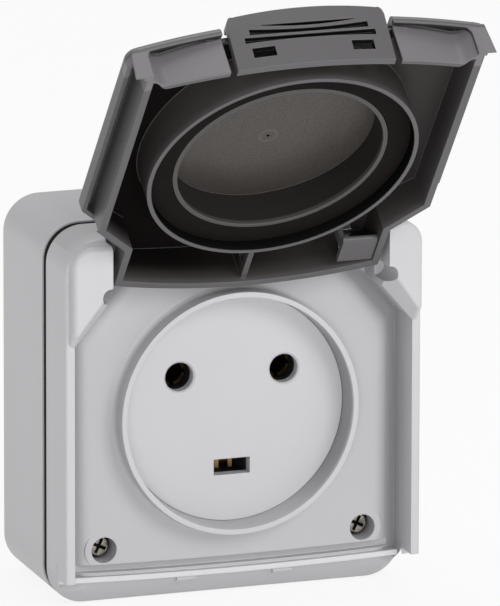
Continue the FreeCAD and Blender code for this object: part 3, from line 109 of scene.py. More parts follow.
class Graph:
    """Small builder for one node tree."""

    def __init__(self, tree):
        self.tree = tree
        tree.nodes.clear()

    def node(self, kind, **settings):
        made = self.tree.nodes.new(kind)
        for key, value in settings.items():
            setattr(made, key, value)
        return made

    def link(self, source, target):
        self.tree.links.new(source, target)

    def put(self, value, socket):
        """Links an output to a socket, or writes a plain value on it."""
        if isinstance(value, bpy.types.NodeSocket):
            self.link(value, socket)
        else:
            socket.default_value = value

    def math(self, operation, a, b=0.0):
        made = self.node("ShaderNodeMath", operation=operation)
        self.put(a, made.inputs[0])
        self.put(b, made.inputs[1])
        return made.outputs[0]

    def plus(self, a, b):
        return self.math("ADD", a, b)

    def minus(self, a, b):
        return self.math("SUBTRACT", a, b)

    def product(self, first, *others):
        """Multiplies values one after another."""
        for other in others:
            first = self.math("MULTIPLY", first, other)
        return first

    def vector(self, operation, a, b=(0.0, 0.0, 0.0)):
        made = self.node("ShaderNodeVectorMath", operation=operation)
        self.put(a, made.inputs[0])
        self.put(b, made.inputs[1])
        gives_number = operation in ("DOT_PRODUCT", "LENGTH", "DISTANCE")
        return made.outputs["Value"] if gives_number else made.outputs[0]

    def noise(self, vector, scale, detail, roughness):
        made = self.node("ShaderNodeTexNoise")
        self.put(vector, made.inputs["Vector"])
        made.inputs["Scale"].default_value = scale
        made.inputs["Detail"].default_value = detail
        made.inputs["Roughness"].default_value = roughness
        return made.outputs["Fac"]

    def ramp(self, value, low, high, out_low=0.0, out_high=1.0):
        """Smooth step; low may lie above high, which turns the step round."""
        made = self.node("ShaderNodeMapRange", interpolation_type="SMOOTHSTEP")
        self.put(value, made.inputs["Value"])
        made.inputs["From Min"].default_value = low
        made.inputs["From Max"].default_value = high
        made.inputs["To Min"].default_value = out_low
        made.inputs["To Max"].default_value = out_high
        return made.outputs["Result"]

    def ramp_mm(self, value, low, high, out_low=0.0, out_high=1.0):
        """Smooth step between two places given in mm."""
        return self.ramp(value, low * MM, high * MM, out_low, out_high)

    def mix(self, factor, a, b):
        made = self.node("ShaderNodeMix", data_type="RGBA")
        self.put(factor, made.inputs["Factor"])
        for value, name in ((a, "A"), (b, "B")):
            socket = [s for s in made.inputs if s.name == name and s.type == "RGBA"][0]
            self.put(value if isinstance(value, bpy.types.NodeSocket) else (*value, 1.0), socket)
        return [s for s in made.outputs if s.type == "RGBA"][0]

    def darker(self, base, *factors):
        """Takes a colour toward black by the product of the factors."""
        return self.mix(self.product(*factors), base, BLACK)

    def xyz(self, vector):
        made = self.node("ShaderNodeSeparateXYZ")
        self.put(vector, made.inputs[0])
        return made.outputs[0], made.outputs[1], made.outputs[2]

    def bump(self, height, strength, distance, normal):
        made = self.node("ShaderNodeBump")
        made.inputs["Strength"].default_value = strength
        made.inputs["Distance"].default_value = distance
        self.put(height, made.inputs["Height"])
        self.put(normal, made.inputs["Normal"])
        return made.outputs[0]


def scaled(colour, k):
    return tuple(min(1.0, c * k) for c in colour)


def new_material(name):
    material = bpy.data.materials.new(name)
    material.use_nodes = True
    return material, Graph(material.node_tree)


def finish_material(g, colour, roughness, normal, metallic=0.0, specular=0.5):
    shader = g.node("ShaderNodeBsdfPrincipled")
    g.put(colour, shader.inputs["Base Color"])
    g.put(roughness, shader.inputs["Roughness"])
    g.put(normal, shader.inputs["Normal"])
    shader.inputs["Metallic"].default_value = metallic
    g.put(specular, shader.inputs["Specular IOR Level"])
    out = g.node("ShaderNodeOutputMaterial")
    g.link(shader.outputs[0], out.inputs["Surface"])


def edge_parts(g, radius_mm):
    """Normal with softly rounded edges, and how near a point is to an edge."""
    bevel = g.node("ShaderNodeBevel", samples=6)
    bevel.inputs["Radius"].default_value = radius_mm * MM
    true_normal = g.node("ShaderNodeNewGeometry").outputs["Normal"]
    facing = g.vector("DOT_PRODUCT", bevel.outputs[0], true_normal)
    edge = g.ramp(facing, 0.995, 0.86)
    return bevel.outputs[0], edge


def mean_of(g, a, b):
    return g.plus(g.product(a, 0.5), g.product(b, 0.5))


# Materials

def moulded_plastic(name, colour, roughness, grain_mm, grain, edge_wear_and_highlight, shade=None):
    """Injection-moulded plastic: fine eroded grain, faint flow mottling and lighter edges, partly wear and
    partly painted highlight.
    """
    material, g = new_material(name)
    place = g.node("ShaderNodeTexCoord").outputs["Object"]
    normal, edge = edge_parts(g, PLASTIC_EDGE_MM)
    fine = g.noise(place, 1 / (grain_mm * MM), 3.0, 0.6)
    broad = g.noise(place, 22.0, 3.0, 0.5)
    flow = g.noise(g.vector("MULTIPLY", place, (60.0, 60.0, 14.0)), 1.0, 4.0, 0.55)
    tone = g.plus(g.product(g.minus(broad, 0.5), 0.05), g.product(g.minus(flow, 0.5), 0.03))
    tone = g.plus(tone, g.product(g.minus(fine, 0.5), 0.06))
    base = g.mix(g.ramp(tone, -0.06, 0.06), scaled(colour, 0.955), scaled(colour, 1.045))
    specular = PLASTIC_SPECULAR
    if shade is not None:
        # Where the shade function paints the colour darker, the gloss is cut down with it, so painted shade
        # also takes away reflections
        base = shade(g, place, base)
        mean = sum(colour) / 3
        lightness = g.vector("DOT_PRODUCT", base, (1 / 3, 1 / 3, 1 / 3))
        specular = g.ramp(lightness, 0.08 * mean, 0.7 * mean, 0.0, specular)
    # Lighter edges: partly wear, partly painted highlight along the rims
    base = g.mix(g.product(edge, 0.8), base, scaled(colour, edge_wear_and_highlight))
    rough = g.ramp(mean_of(g, broad, fine), 0.3, 0.7, roughness - 0.05, roughness + 0.06)
    finish_material(g, base, rough, g.bump(fine, grain, 0.03 * MM, normal), specular=specular)
    return material


def rubber(name, colour, grain_mm, grain, roughness=0.75, speck=0.0):
    """Soft dark material with coarse grain; speck adds lighter pores."""
    material, g = new_material(name)
    place = g.node("ShaderNodeTexCoord").outputs["Object"]
    normal, edge = edge_parts(g, RUBBER_EDGE_MM)
    fine = g.noise(place, 1 / (grain_mm * MM), 4.0, 0.65)
    broad = g.noise(place, 90.0, 3.0, 0.5)
    base = g.mix(broad, scaled(colour, 0.75), scaled(colour, 1.3))
    if speck:
        base = g.mix(g.ramp(fine, 0.56, 0.72, 0.0, speck), base, scaled(colour, 4.0))
    # Lighter edges: partly wear, partly painted highlight
    base = g.mix(g.product(edge, 0.5), base, scaled(colour, 2.0))
    rough = g.ramp(fine, 0.3, 0.7, roughness - 0.08, roughness + 0.08)
    finish_material(g, base, rough, g.bump(fine, grain, 0.12 * MM, normal), specular=RUBBER_SPECULAR)
    return material


def metal(name, colour, roughness, stain, painted_shade_from=None):
    """Plated or drawn metal: fine lines, cloudy tone and bright edges, partly wear and partly painted
    highlight; painted shade, nearly black, behind a given depth.
    """
    material, g = new_material(name)
    place = g.node("ShaderNodeTexCoord").outputs["Object"]
    normal, edge = edge_parts(g, METAL_EDGE_MM)
    lines = g.noise(g.vector("MULTIPLY", place, METAL_LINES), 1.0, 3.0, 0.6)
    cloud = g.noise(place, 450.0, 4.0, 0.6)
    base = g.mix(g.ramp(cloud, 0.35, 0.7), scaled(colour, 1 - stain), scaled(colour, 1 + stain * 0.5))
    # Bright edges: partly wear, partly painted highlight
    base = g.mix(g.product(edge, 0.7), base, scaled(colour, 1.4))
    # Painted shade: nearly black deeper in than the given depth
    if painted_shade_from is not None:
        y = g.xyz(place)[1]
        base = g.darker(base, g.ramp_mm(y, painted_shade_from, painted_shade_from + 0.4, 0.0, 0.97))
    rough = g.ramp(mean_of(g, lines, cloud), 0.3, 0.7, roughness - 0.1, roughness + 0.12)
    finish_material(g, base, rough, g.bump(lines, 0.25, 0.02 * MM, normal), metallic=1.0)
    return material


# Shading of the lid, latch and cover by place

def closed_place(g, place):
    """Coordinates of the lid as if it were closed, from its own open place."""
    moved = g.vector("SUBTRACT", place, (0.0, HINGE_Y, HINGE_Z))
    turn = g.node("ShaderNodeVectorRotate", rotation_type="X_AXIS")
    g.put(moved, turn.inputs["Vector"])
    turn.inputs["Angle"].default_value = OPEN
    return g.vector("ADD", turn.outputs[0], (0.0, HINGE_Y, HINGE_Z))


class LidPlace:
    """Coordinates of the closed lid, and the measures its shading is built from."""

    def __init__(self, g, place):
        self.at = closed_place(g, place)
        self.x, y, self.z = g.xyz(self.at)
        self.side = g.math("ABSOLUTE", self.x)
        self.across = g.product(self.x, self.x)
        self.radius = g.math("SQRT", g.plus(self.across, g.product(self.z, self.z)))
        self.height = g.minus(SKIRT_EDGE * MM, y)
        self.crown = g.minus(CROWN_HEIGHT * MM, g.product(self.across, 1.0 / CROWN_SPAN / MM))
        self.inner_side = g.ramp_mm(g.minus(self.crown, self.height), 0.3, 0.8)


def lid_within(g, lid):
    """The lid's inside: between its side walls, end wall, slanted corners and hinge end."""
    inner_wall = 44.6
    end_wall = -42.6
    corner_sum = 66.8
    corner_side = 35.6
    hinge_end = 44.6
    neck_radius = 9.9
    from_hinge = g.vector("SUBTRACT", lid.at, (0.0, HINGE_Y, HINGE_Z))
    from_hinge = g.vector("LENGTH", g.vector("MULTIPLY", from_hinge, (0.0, 1.0, 1.0)))
    before_hinge_end = g.math("MAXIMUM", g.ramp_mm(lid.z, hinge_end, hinge_end - 0.6),
                              g.ramp_mm(from_hinge, neck_radius, neck_radius - 0.5))
    below_slant = g.math("MAXIMUM", g.ramp_mm(g.plus(lid.side, lid.z), corner_sum, corner_sum - 0.6),
                         g.ramp_mm(lid.side, corner_side, corner_side - 0.4))
    return g.product(g.ramp_mm(lid.side, inner_wall, inner_wall - 0.3),
                     g.ramp_mm(lid.z, end_wall, end_wall + 0.4),
                     below_slant, lid.inner_side, before_hinge_end)


def lid_cup(g, place, lid, base):
    """Grained floor of the cup, the moulding gate's dimple as a painted highlight ring and painted shade dot,
    and painted shade on the cup's wall.
    """
    gate_place = (-0.8 * MM, 0.0, 1.3 * MM)
    cup = g.product(lid.inner_side, g.ramp_mm(lid.radius, CUP_R, CUP_R - 0.3))
    floor = g.product(cup, g.ramp_mm(lid.height, 9.0, 11.5))
    wall = g.product(g.ramp_mm(lid.radius, CUP_R - 1.6, CUP_R - 1.2), g.ramp_mm(lid.height, 3.4, 4.4))
    grain = g.noise(place, 1 / (0.45 * MM), 3.0, 0.7)
    cup_floor = g.mix(g.ramp(grain, 0.35, 0.65), CUP_FLOOR_DARK, CUP_FLOOR_PALE)
    base = g.mix(g.product(floor, 0.85), base, cup_floor)
    gate = g.vector("DISTANCE", g.vector("MULTIPLY", lid.at, (1.0, 0.0, 1.0)), gate_place)
    # Painted highlight ring and painted shade dot of the gate's dimple
    ring = g.product(g.ramp_mm(gate, 1.9, 2.2), g.ramp_mm(gate, 2.8, 2.4))
    base = g.mix(g.product(ring, floor, 0.5), base, GATE_RING_HIGHLIGHT)
    base = g.darker(base, g.ramp_mm(gate, 0.6, 0.35), floor, 0.9)
    # Painted shade on the cup's wall
    return g.darker(base, cup, wall, 0.62)


def lid_end(g, lid, base):
    """Painted reflection lightening the free end's face, a painted shadow line under its rim, a painted
    highlight on the rim and painted shade on the walls of the sunk fields.
    """
    fields_from = 23.2
    fields_to = 44.8
    field_turn = 46.3
    field_return = 2.8
    rim_mid = 45.5
    rim_bow = 2.5 / 46.5 ** 2
    bow = g.product(lid.across, END_BOW / MM)
    outside = g.ramp_mm(g.plus(lid.z, g.minus(END_MID * MM, bow)), 0.9, 0.5)
    outside = g.product(outside, lid.inner_side)
    gap = g.minus(g.minus(lid.crown, PLATE * MM), lid.height)
    line = g.product(g.ramp_mm(gap, 1.3, 0.1), g.ramp_mm(gap, -0.15, 0.1))
    rim = g.ramp_mm(gap, 0.0, -0.2)
    # Painted reflection on the free end's outer face
    base = g.mix(outside, base, scaled(CHARCOAL, 1.75))
    # Painted shadow line under the rim
    base = g.mix(g.product(outside, line, 0.6), base, RIM_SHADOW_LINE)
    # Painted highlight on the rim
    base = g.mix(g.product(outside, rim, 0.35), base, scaled(CHARCOAL, 2.2))
    level = g.math("MINIMUM", lid.side, END_REACH * MM)
    field = g.minus(g.product(level, level, END_BOW / MM), END_MID * MM)
    field = g.minus(field, g.ramp_mm(lid.side, END_REACH, field_turn, 0.0, field_return * MM))
    rim_face = g.minus(g.product(lid.across, rim_bow / MM), rim_mid * MM)
    # Painted shade on the walls of the sunk fields
    walls = g.product(g.ramp_mm(g.minus(field, lid.z), 0.25, 0.6),
                      g.ramp_mm(g.minus(lid.z, rim_face), 0.25, 0.55),
                      g.ramp_mm(lid.side, fields_from, fields_from + 0.3),
                      g.ramp_mm(lid.side, fields_to, fields_to - 0.14),
                      g.ramp_mm(gap, -0.3, -0.15))
    return g.mix(g.product(walls, 0.85), base, FIELD_WALL_SHADE)


def lid_shade(g, place, base):
    """Painted shade inside the lid: cup, land between the rings, pockets round them; painted light and shade
    on the free end.
    """
    lid = LidPlace(g, place)
    within = lid_within(g, lid)
    # Painted shade inside the lid
    base = g.mix(g.product(within, g.ramp_mm(lid.height, -0.3, 2.5)), base, INSIDE_SHADE)
    base = lid_cup(g, place, lid, base)
    # Painted shade in the pockets round the outer ring, darker toward -x than toward +x
    pocket_shade = g.product(g.ramp_mm(lid.radius, RING_R, RING_R + 0.3), within, g.ramp_mm(lid.height, 0.6, 7.0))
    base = g.darker(base, pocket_shade, g.ramp_mm(lid.x, -20.0, 20.0, 0.85, 0.4))
    # Painted shade on the land between the rings
    land = g.product(g.ramp_mm(lid.radius, CUP_R, CUP_R + 0.2),
                     g.ramp_mm(lid.radius, RING_R - 1.0, RING_R - 1.2), lid.inner_side)
    base = g.darker(base, land, 0.92)
    return lid_end(g, lid, base)


def latch_shade(g, place, base):
    """Painted shade, nearly black, in the grooves and windows, well behind the outer face."""
    x, y, z = g.xyz(closed_place(g, place))
    height = g.minus(SKIRT_EDGE * MM, y)
    bow = g.product(x, x, END_BOW / MM)
    face = g.minus(g.minus(bow, END_MID * MM), g.product(height, LATCH_LEAN / LATCH_DEPTH))
    depth = g.minus(z, face)
    away = g.product(g.ramp_mm(g.math("ABSOLUTE", x), 21.2, 20.8),
                     g.ramp_mm(height, 0.3, 0.6), g.ramp_mm(height, 14.6, 14.2))
    return g.darker(base, away, g.ramp_mm(depth, 0.12, 0.4, 0.0, 0.92))


def cover_shade(g, place, base):
    """Painted shade in the recess of the cover and on the chin, a painted highlight on the lower lip and
    painted shade on the well's wall.
    """
    lip_top = -41.4
    lip_front = 6.5
    lip_back = 7.5
    well_radius = 32.3
    x, y, z = g.xyz(place)
    side = g.math("ABSOLUTE", x)
    drop = g.minus(y, FLANGE * MM)
    # Painted shade deeper in the recess
    low = g.product(g.ramp_mm(drop, 0.5, 9.0), g.ramp_mm(side, 48.3, 47.7), g.ramp_mm(z, -44.0, -42.0))
    base = g.darker(base, low, 0.13)
    below = g.ramp_mm(z, lip_top, lip_top - 0.5)
    # Painted shade on the chin under the lip
    chin = g.product(below, g.ramp_mm(drop, lip_back, lip_back + 0.4))
    base = g.darker(base, chin, 0.06)
    # Painted highlight on the lower lip
    lip = g.product(below, g.ramp_mm(drop, lip_front, lip_front + 0.3),
                    g.ramp_mm(drop, lip_back, lip_back - 0.3))
    base = g.mix(g.product(lip, 0.6), base, scaled(LIGHT_GREY, 1.3))
    # Painted shade on the well's inner wall, on the +x side only
    radius = g.vector("LENGTH", g.vector("MULTIPLY", place, (1.0, 0.0, 1.0)))
    inner = g.product(g.ramp_mm(radius, well_radius, well_radius - 0.2), g.ramp_mm(x, 12.0, 30.0),
                      g.ramp_mm(drop, 2.9, 4.5))
    return g.darker(base, inner, 0.42)


light_plastic = moulded_plastic("light_plastic", LIGHT_GREY, 0.42, 0.35, 0.16, 1.18)
cover_plastic = moulded_plastic("cover_plastic", LIGHT_GREY, 0.42, 0.35, 0.16, 1.18, shade=cover_shade)
face_plastic = moulded_plastic("face_plastic", scaled(LIGHT_GREY, 0.99), 0.40, 0.35, 0.12, 1.12)
dark_plastic = moulded_plastic("dark_plastic", CHARCOAL, 0.40, 0.35, 0.22, 1.5)
latch_plastic = moulded_plastic("latch_plastic", scaled(CHARCOAL, 1.05), 0.40, 0.35, 0.22, 1.5, latch_shade)
dark_steel = metal("dark_steel", scaled(STEEL, 0.12), 0.4, 0.3)
lid_plastic = moulded_plastic("lid_plastic", CHARCOAL, 0.40, 0.35, 0.22, 1.5, shade=lid_shade)
# Painted shade: the contact base seen deep in the pin holes is kept near black
base_plastic = moulded_plastic("base_plastic", scaled(CHARCOAL, 0.35), 0.5, 0.4, 0.2, 1.5)
black_rubber = rubber("black_rubber", BLACK_RUBBER, 0.3, 0.25)
foam_seal = rubber("foam_seal", SEAL_BROWN, 0.5, 0.6, 0.85, 0.6)
zinc = metal("zinc", ZINC, 0.34, 0.35)
# Painted shade: nearly black in the screws' cross recesses, behind their head faces
screw_zinc = metal("screw_zinc", ZINC, 0.3, 0.6, painted_shade_from=SCREW_FACE + 0.1)
# Painted shade: the pins deep in their holes are darkened to a tenth of brass
pin_brass = metal("pin_brass", scaled(BRASS, 0.1), 0.5, 0.3)
steel = metal("steel", STEEL, 0.3, 0.2)
brass = metal("brass", BRASS, 0.32, 0.3)

LOOKS = {
    "back_box": light_plastic, "front_cover": cover_plastic, "socket_face": face_plastic,
    "contact_base": base_plastic, "lid": lid_plastic, "latch": latch_plastic, "spring_cover": dark_plastic,
    "box_gasket": black_rubber, "screw_seals": black_rubber, "face_seal": black_rubber, "lid_seal": foam_seal,
    "cable_grommet": black_rubber, "cover_screws": screw_zinc, "base_screws": zinc, "terminal_screws": zinc,
    "hinge_pins": zinc, "latch_pin": dark_steel, "friction_clip": steel, "latch_spring": dark_steel,
    "live_contact": pin_brass, "neutral_contact": pin_brass, "earth_contact": brass,
    "live_terminal": brass, "neutral_terminal": brass, "earth_terminal": brass,
}
for name, look in LOOKS.items():
    mesh = nodes[name].data
    mesh.materials.clear()
    mesh.materials.append(look)


# Pieces finished over the solids

JOIN_WITHIN = 0.002       # vertices nearer than this are joined
SHARP_ANGLE = math.radians(26)

# Cover: (drop, z) profiles run along X between two distances from the middle
ARMS_X = (10.8, 16.4)
ARM_SPACE = [(-2.0, -46.0), (5.0, -46.0), (5.0, -42.0), (10.58, -42.0),
             (10.58, -40.56), (8.49, -40.56), (8.49, -38.0), (-2.0, -38.0)]
CATCHES_X = (10.9, 16.3)
CATCH = [(7.7, -44.9), (7.7, -45.9), (8.3, -46.6), (10.2, -46.6), (10.2, -44.9)]
LIP = [(7.02, -43.6), (9.4, -43.6), (9.4, -45.3), (7.02, -45.3)]
LIP_HALF = 46.0
LIP_STEPS = 16

# Underside of the cover: drop, z of its lowest line and radius of its corners
CHIN_STEPS = [(5.5, -45.1, 0.6), (7.3, -45.1, 0.6), (7.4, -45.1, 7.0), (8.6, -45.1, 7.2), (8.7, -46.0, 7.3)]
CHIN_ROUND_STEPS = 8
CHIN_BACK = 16.0          # drop at which the underside meets the box
CHIN_FALL = 6.04          # how far it falls from the last of CHIN_STEPS to the box
CHIN_ROUND = 0.8          # power of its rounding
CHIN_CORNER_R = 10.0
CHIN_BOW_DROP = 9.0       # the rise of its ends fades out over this drop
CHIN_HALF = 50.05
CHIN_OUTSIDE = 62.0

# Latch: heights and depths of the patch laid over the solid's own grooves
PATCH_HEIGHTS = (6.05, 13.7)
PATCH_HALF = 18.4
PATCH_NEAR = 0.02
PATCH_FAR = 1.95
PATCH_STEPS = 24
# Grooves: half width, upper bow's height at its ends and middle, lower bow's height likewise, depth
GROOVES = [(12.9, 12.6, 12.25, 12.35, 11.25, 1.6), (16.3, 11.7, 10.45, 9.95, 9.35, 1.6),
           (18.0, 9.35, 8.7, 7.6, 7.6, 1.6)]
GROOVE_STEPS = 14
EDGE_FROM = 14.0          # the latch's upper edge, from this height on, is raised by EDGE_RISE
EDGE_RISE = 0.9

# Lid: spare ends of the latch bosses as (x, z), and round corners of the sunk fields
BOSS_SPARE = [(23.55, -42.82), (28.3, -42.08), (28.3, -50.0), (23.55, -50.0)]
BOSS_SPARE_HEIGHTS = (8.4, 10.5)
FIELD_SIDE = 44.6
FIELD_TOP = 9.45
FIELD_CORNER_R = 3.4
FIELD_SLOPE = 0.14
FIELD_CORNER_Z = (-39.0, -43.15)
# Tabs at the lower corners: height, distance of the outer face from the middle, z of the back
TAB_LEVELS = [(0.0, 49.6, -42.62), (5.35, 49.15, -42.62), (5.6, 49.1, -41.4), (9.4, 48.75, -41.0)]
TAB_INNER_X = 46.4
TAB_FACE_Z = -43.04


def opened(point):
    """A place of the closed lid in mm, swung to its open place, in metres."""
    y = point[1] - HINGE_Y / MM
    z = point[2] - HINGE_Z / MM
    cos = math.cos(-OPEN)
    sin = math.sin(-OPEN)
    return Vector((point[0] * MM, HINGE_Y + (y * cos - z * sin) * MM, HINGE_Z + (y * sin + z * cos) * MM))


def closed_height(place):
    """Height above the closed lid's skirt edge, in mm, of a place of the open lid."""
    y = place[1] - HINGE_Y
    z = place[2] - HINGE_Z
    return SKIRT_EDGE - (HINGE_Y + y * math.cos(OPEN) - z * math.sin(OPEN)) / MM


def in_metres(point):
    return Vector(point) * MM


def lofted(bm, rings, place):
    """Closed solid through rings with equal numbers of points."""
    made = [[bm.verts.new(place(point)) for point in ring] for ring in rings]
    count = len(made[0])
    for near, far in zip(made, made[1:]):
        for i in range(count):
            j = (i + 1) % count
            bm.faces.new((near[i], near[j], far[j], far[i]))
    bm.faces.new(list(reversed(made[0])))
    bm.faces.new(made[-1])


def solid(name, ring_sets, place):
    """Object made of one or more lofted solids."""
    bm = bmesh.new()
    for rings in ring_sets:
        lofted(bm, rings, place)
    bmesh.ops.recalc_face_normals(bm, faces=bm.faces)
    mesh = bpy.data.meshes.new(name)
    bm.to_mesh(mesh)
    bm.free()
    made = bpy.data.objects.new(name, mesh)
    bpy.context.scene.collection.objects.link(made)
    return made


def bars(profile, ends):
    """Ring pairs of a (drop, z) profile run along X, on both sides of the middle."""
    return [[[(side * x, FLANGE + drop, z) for drop, z in profile] for x in ends] for side in (-1, 1)]


def merged_copy(node):
    """Copy of a node's mesh with its split vertices joined."""
    mesh = nodes[node].data.copy()
    if "custom_normal" in mesh.attributes:
        mesh.attributes.remove(mesh.attributes["custom_normal"])
    bm = bmesh.new()
    bm.from_mesh(mesh)
    bmesh.ops.remove_doubles(bm, verts=bm.verts, dist=JOIN_WITHIN * MM)
    bm.to_mesh(mesh)
    bm.free()
    made = bpy.data.objects.new("finished_" + node, mesh)
    bpy.context.scene.collection.objects.link(made)
    return made


def apply_modifier(piece, modifier):
    """Writes what a modifier makes of a piece into its mesh."""
    graph = bpy.context.evaluated_depsgraph_get()
    mesh = bpy.data.meshes.new_from_object(piece.evaluated_get(graph))
    piece.modifiers.remove(modifier)
    piece.data = mesh


def carve(piece, cutter, operation="DIFFERENCE"):
    """Applies a boolean to a piece and drops the cutter."""
    modifier = piece.modifiers.new("carve", "BOOLEAN")
    modifier.object = cutter
    modifier.operation = operation
    modifier.solver = "EXACT"
    apply_modifier(piece, modifier)
    bpy.data.objects.remove(cutter)


def take_place(piece, node, body, look):
    """Gives a piece its look and smooth faces with sharp edges, and sets it in a node's stead."""
    mesh = piece.data
    mesh.materials.clear()
    mesh.materials.append(look)
    for polygon in mesh.polygons:
        polygon.use_smooth = True
        polygon.material_index = 0
    mesh.set_sharp_from_angle(angle=SHARP_ANGLE)
    modifier = piece.modifiers.new("normals", "WEIGHTED_NORMAL")
    modifier.keep_sharp = True
    modifier.weight = 100
    apply_modifier(piece, modifier)
    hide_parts(node)
    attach(piece, body)


def chin_rings():
    """Space under the lower lip of the cover: a step behind the lip, then a rounded underside."""
    stations = list(CHIN_STEPS)
    first_drop, first_low, first_radius = CHIN_STEPS[-1]
    for i in range(1, CHIN_ROUND_STEPS + 1):
        t = i / CHIN_ROUND_STEPS
        drop = first_drop + (CHIN_BACK - first_drop) * t
        low = first_low - CHIN_FALL * t ** CHIN_ROUND
        stations.append((drop, low, min(CHIN_CORNER_R, first_radius + 4.0 * t)))
    rings = []
    for drop, low, radius in stations:
        rise = (CHIN_BACK - min(drop, CHIN_BACK)) / CHIN_BOW_DROP
        top = low + radius
        right = []
        for i in range(11):
            a = math.pi / 2 * i / 10
            right.append((CHIN_HALF - radius + radius * math.cos(a), top - radius * math.sin(a)))
        flat = [(40.0 - 5.0 * i, low) for i in range(1, 8)]
        half_line = right + flat
        line = half_line + [(0.0, low)] + [(-x, z) for x, z in reversed(half_line)]
        y = FLANGE + drop
        bowed = [(x, y, z + rise * (x / COVER_HALF) ** 2) for x, z in line]
        outer = [(-CHIN_OUTSIDE, y, bowed[-1][2]), (-CHIN_OUTSIDE, y, -CHIN_OUTSIDE),
                 (CHIN_OUTSIDE, y, -CHIN_OUTSIDE), (CHIN_OUTSIDE, y, bowed[0][2])]
        rings.append(bowed + outer)
    return rings


def finished_cover():
    """Cover with a stepped lip along its lower edge and two small catches for the latch below the lip."""
    piece = merged_copy("front_cover")
    carve(piece, solid("cutter", bars(ARM_SPACE, ARMS_X), in_metres))
    lip = []
    for i in range(LIP_STEPS + 1):
        x = -LIP_HALF + 2 * LIP_HALF * i / LIP_STEPS
        rise = (x / COVER_HALF) ** 2
        lip.append([(x, FLANGE + drop, z + rise) for drop, z in LIP])
    carve(piece, solid("lip", [lip], in_metres), "UNION")
    carve(piece, solid("cutter", [chin_rings()], in_metres))
    carve(piece, solid("catches", bars(CATCH, CATCHES_X), in_metres), "UNION")
    take_place(piece, "front_cover", "body", cover_plastic)


def latch_line(points, inward):
    """Points of the latch given as (x, height), set inward of its outer face."""
    line = []
    for x, height in points:
        face = -(END_MID - END_BOW * x * x + LATCH_LEAN * height / LATCH_DEPTH)
        line.append((x, SKIRT_EDGE - height, face + inward))
    return line


def bow_across(half, end, middle):
    """(x, height) points of a bow across the latch, from left to right."""
    xs = [-half + 2 * half * i / GROOVE_STEPS for i in range(GROOVE_STEPS + 1)]
    return [(x, middle + (end - middle) * (x / half) ** 2) for x in xs]


def groove_rings(half, upper_end, upper_mid, lower_end, lower_mid, depth):
    """Groove across the latch between two bows."""
    upper = bow_across(half, upper_end, upper_mid)
    lower = bow_across(half, lower_end, lower_mid)
    outline = upper + lower[::-1]
    return [latch_line(outline, inward) for inward in (-2.0, depth)]


def finished_latch():
    """Latch with three deep finger grooves, lens-shaped ribs between them and a raised upper edge."""
    piece = merged_copy("latch")
    outward = opened((0, SKIRT_EDGE - 1, 0)) - opened((0, SKIRT_EDGE, 0))
    for vertex in piece.data.vertices:
        over = closed_height(vertex.co) - EDGE_FROM
        if over > 0.0:
            vertex.co = vertex.co + outward * min(over, 1.0) * EDGE_RISE
    xs = [-PATCH_HALF + 2 * PATCH_HALF * i / PATCH_STEPS for i in range(PATCH_STEPS + 1)]
    patch = []
    for height in PATCH_HEIGHTS:
        points = [(x, height) for x in xs]
        patch.append(latch_line(points, PATCH_NEAR) + latch_line(points[::-1], PATCH_FAR))
    carve(piece, solid("patch", [patch], opened), "UNION")
    for groove in GROOVES:
        carve(piece, solid("cutter", [groove_rings(*groove)], opened))
    take_place(piece, "latch", "latch", latch_plastic)


def field_corner(side):
    """Fills the square corner of a sunk end field outside a quarter circle."""
    outline = [(FIELD_SIDE + 0.15, FIELD_TOP + 0.4)]
    for i in range(9):
        a = math.pi / 2 * i / 8
        x = FIELD_SIDE - FIELD_CORNER_R + FIELD_CORNER_R * math.cos(a)
        height = FIELD_TOP - FIELD_CORNER_R + FIELD_CORNER_R * math.sin(a) + FIELD_SLOPE * (FIELD_SIDE - x)
        outline.append((x, height))
    outline.append((41.0, 10.3))
    return [[(side * x, SKIRT_EDGE - height, z) for x, height in outline] for z in FIELD_CORNER_Z]


def corner_tab(side):
    """Tab that closes a lower corner of the lid."""
    rings = []
    for height, out_x, back in TAB_LEVELS:
        ring = [(TAB_INNER_X, back), (TAB_INNER_X, TAB_FACE_Z), (out_x - 0.7, TAB_FACE_Z),
                (out_x - 0.2, -42.95), (out_x, -42.8), (out_x, back)]
        rings.append([(side * x, SKIRT_EDGE - height, z) for x, z in ring])
    return rings


def finished_lid():
    """Lid with clean ends beside the latch, rounded field corners and a small tab at each lower corner."""
    piece = merged_copy("lid")
    blocks = []
    for side in (-1, 1):
        blocks.append([[(side * x, SKIRT_EDGE - height, z) for x, z in BOSS_SPARE]
                       for height in BOSS_SPARE_HEIGHTS])
    carve(piece, solid("cutter", blocks, opened))
    for side in (-1, 1):
        carve(piece, solid("corner", [field_corner(side)], opened), "UNION")
        carve(piece, solid("corner", [corner_tab(side)], opened), "UNION")
    take_place(piece, "lid", "lid", lid_plastic)


finished_cover()
finished_latch()
finished_lid()


# Floor, light and camera

FLOOR_HALF = 6.0          # metres
FLOOR_BELOW = 0.5         # mm under the box
FLOOR_TONE = (0.88, 0.88, 0.88, 1.0)
FLOOR_WHITE = 0.88        # how white the floor is to the camera and in reflections
WORLD_LEVEL = 0.40
LIGHTS = [
    ("key", (0.9, -2.0, 1.3), (0, -0.05, 0.02), (1.2, 1.2), 23.5),
    ("low", (-0.45, -2.1, 0.16), (0, -0.05, 0.0), (1.5, 0.4), 14),
    ("side", (-2.0, -0.2, 0.6), (0, -0.05, 0.02), (1.4, 1.2), 4),
    ("top", (0.1, 0.3, 1.7), (0, -0.05, 0.02), (1.4, 1.4), 8.5),
]

# Camera found from the photograph: focal length in pixels of a 500 x 606 picture, place and angles
FOCAL_PX = 11151.16
CAMERA_PLACE = (-0.93429, -2.77544, 0.76599)
CAMERA_TURN = math.radians(18.98979)
CAMERA_FALL = math.radians(14.33459)
CAMERA_ROLL = math.radians(0.13298)
SENSOR = 36.0
PICTURE_W = 500


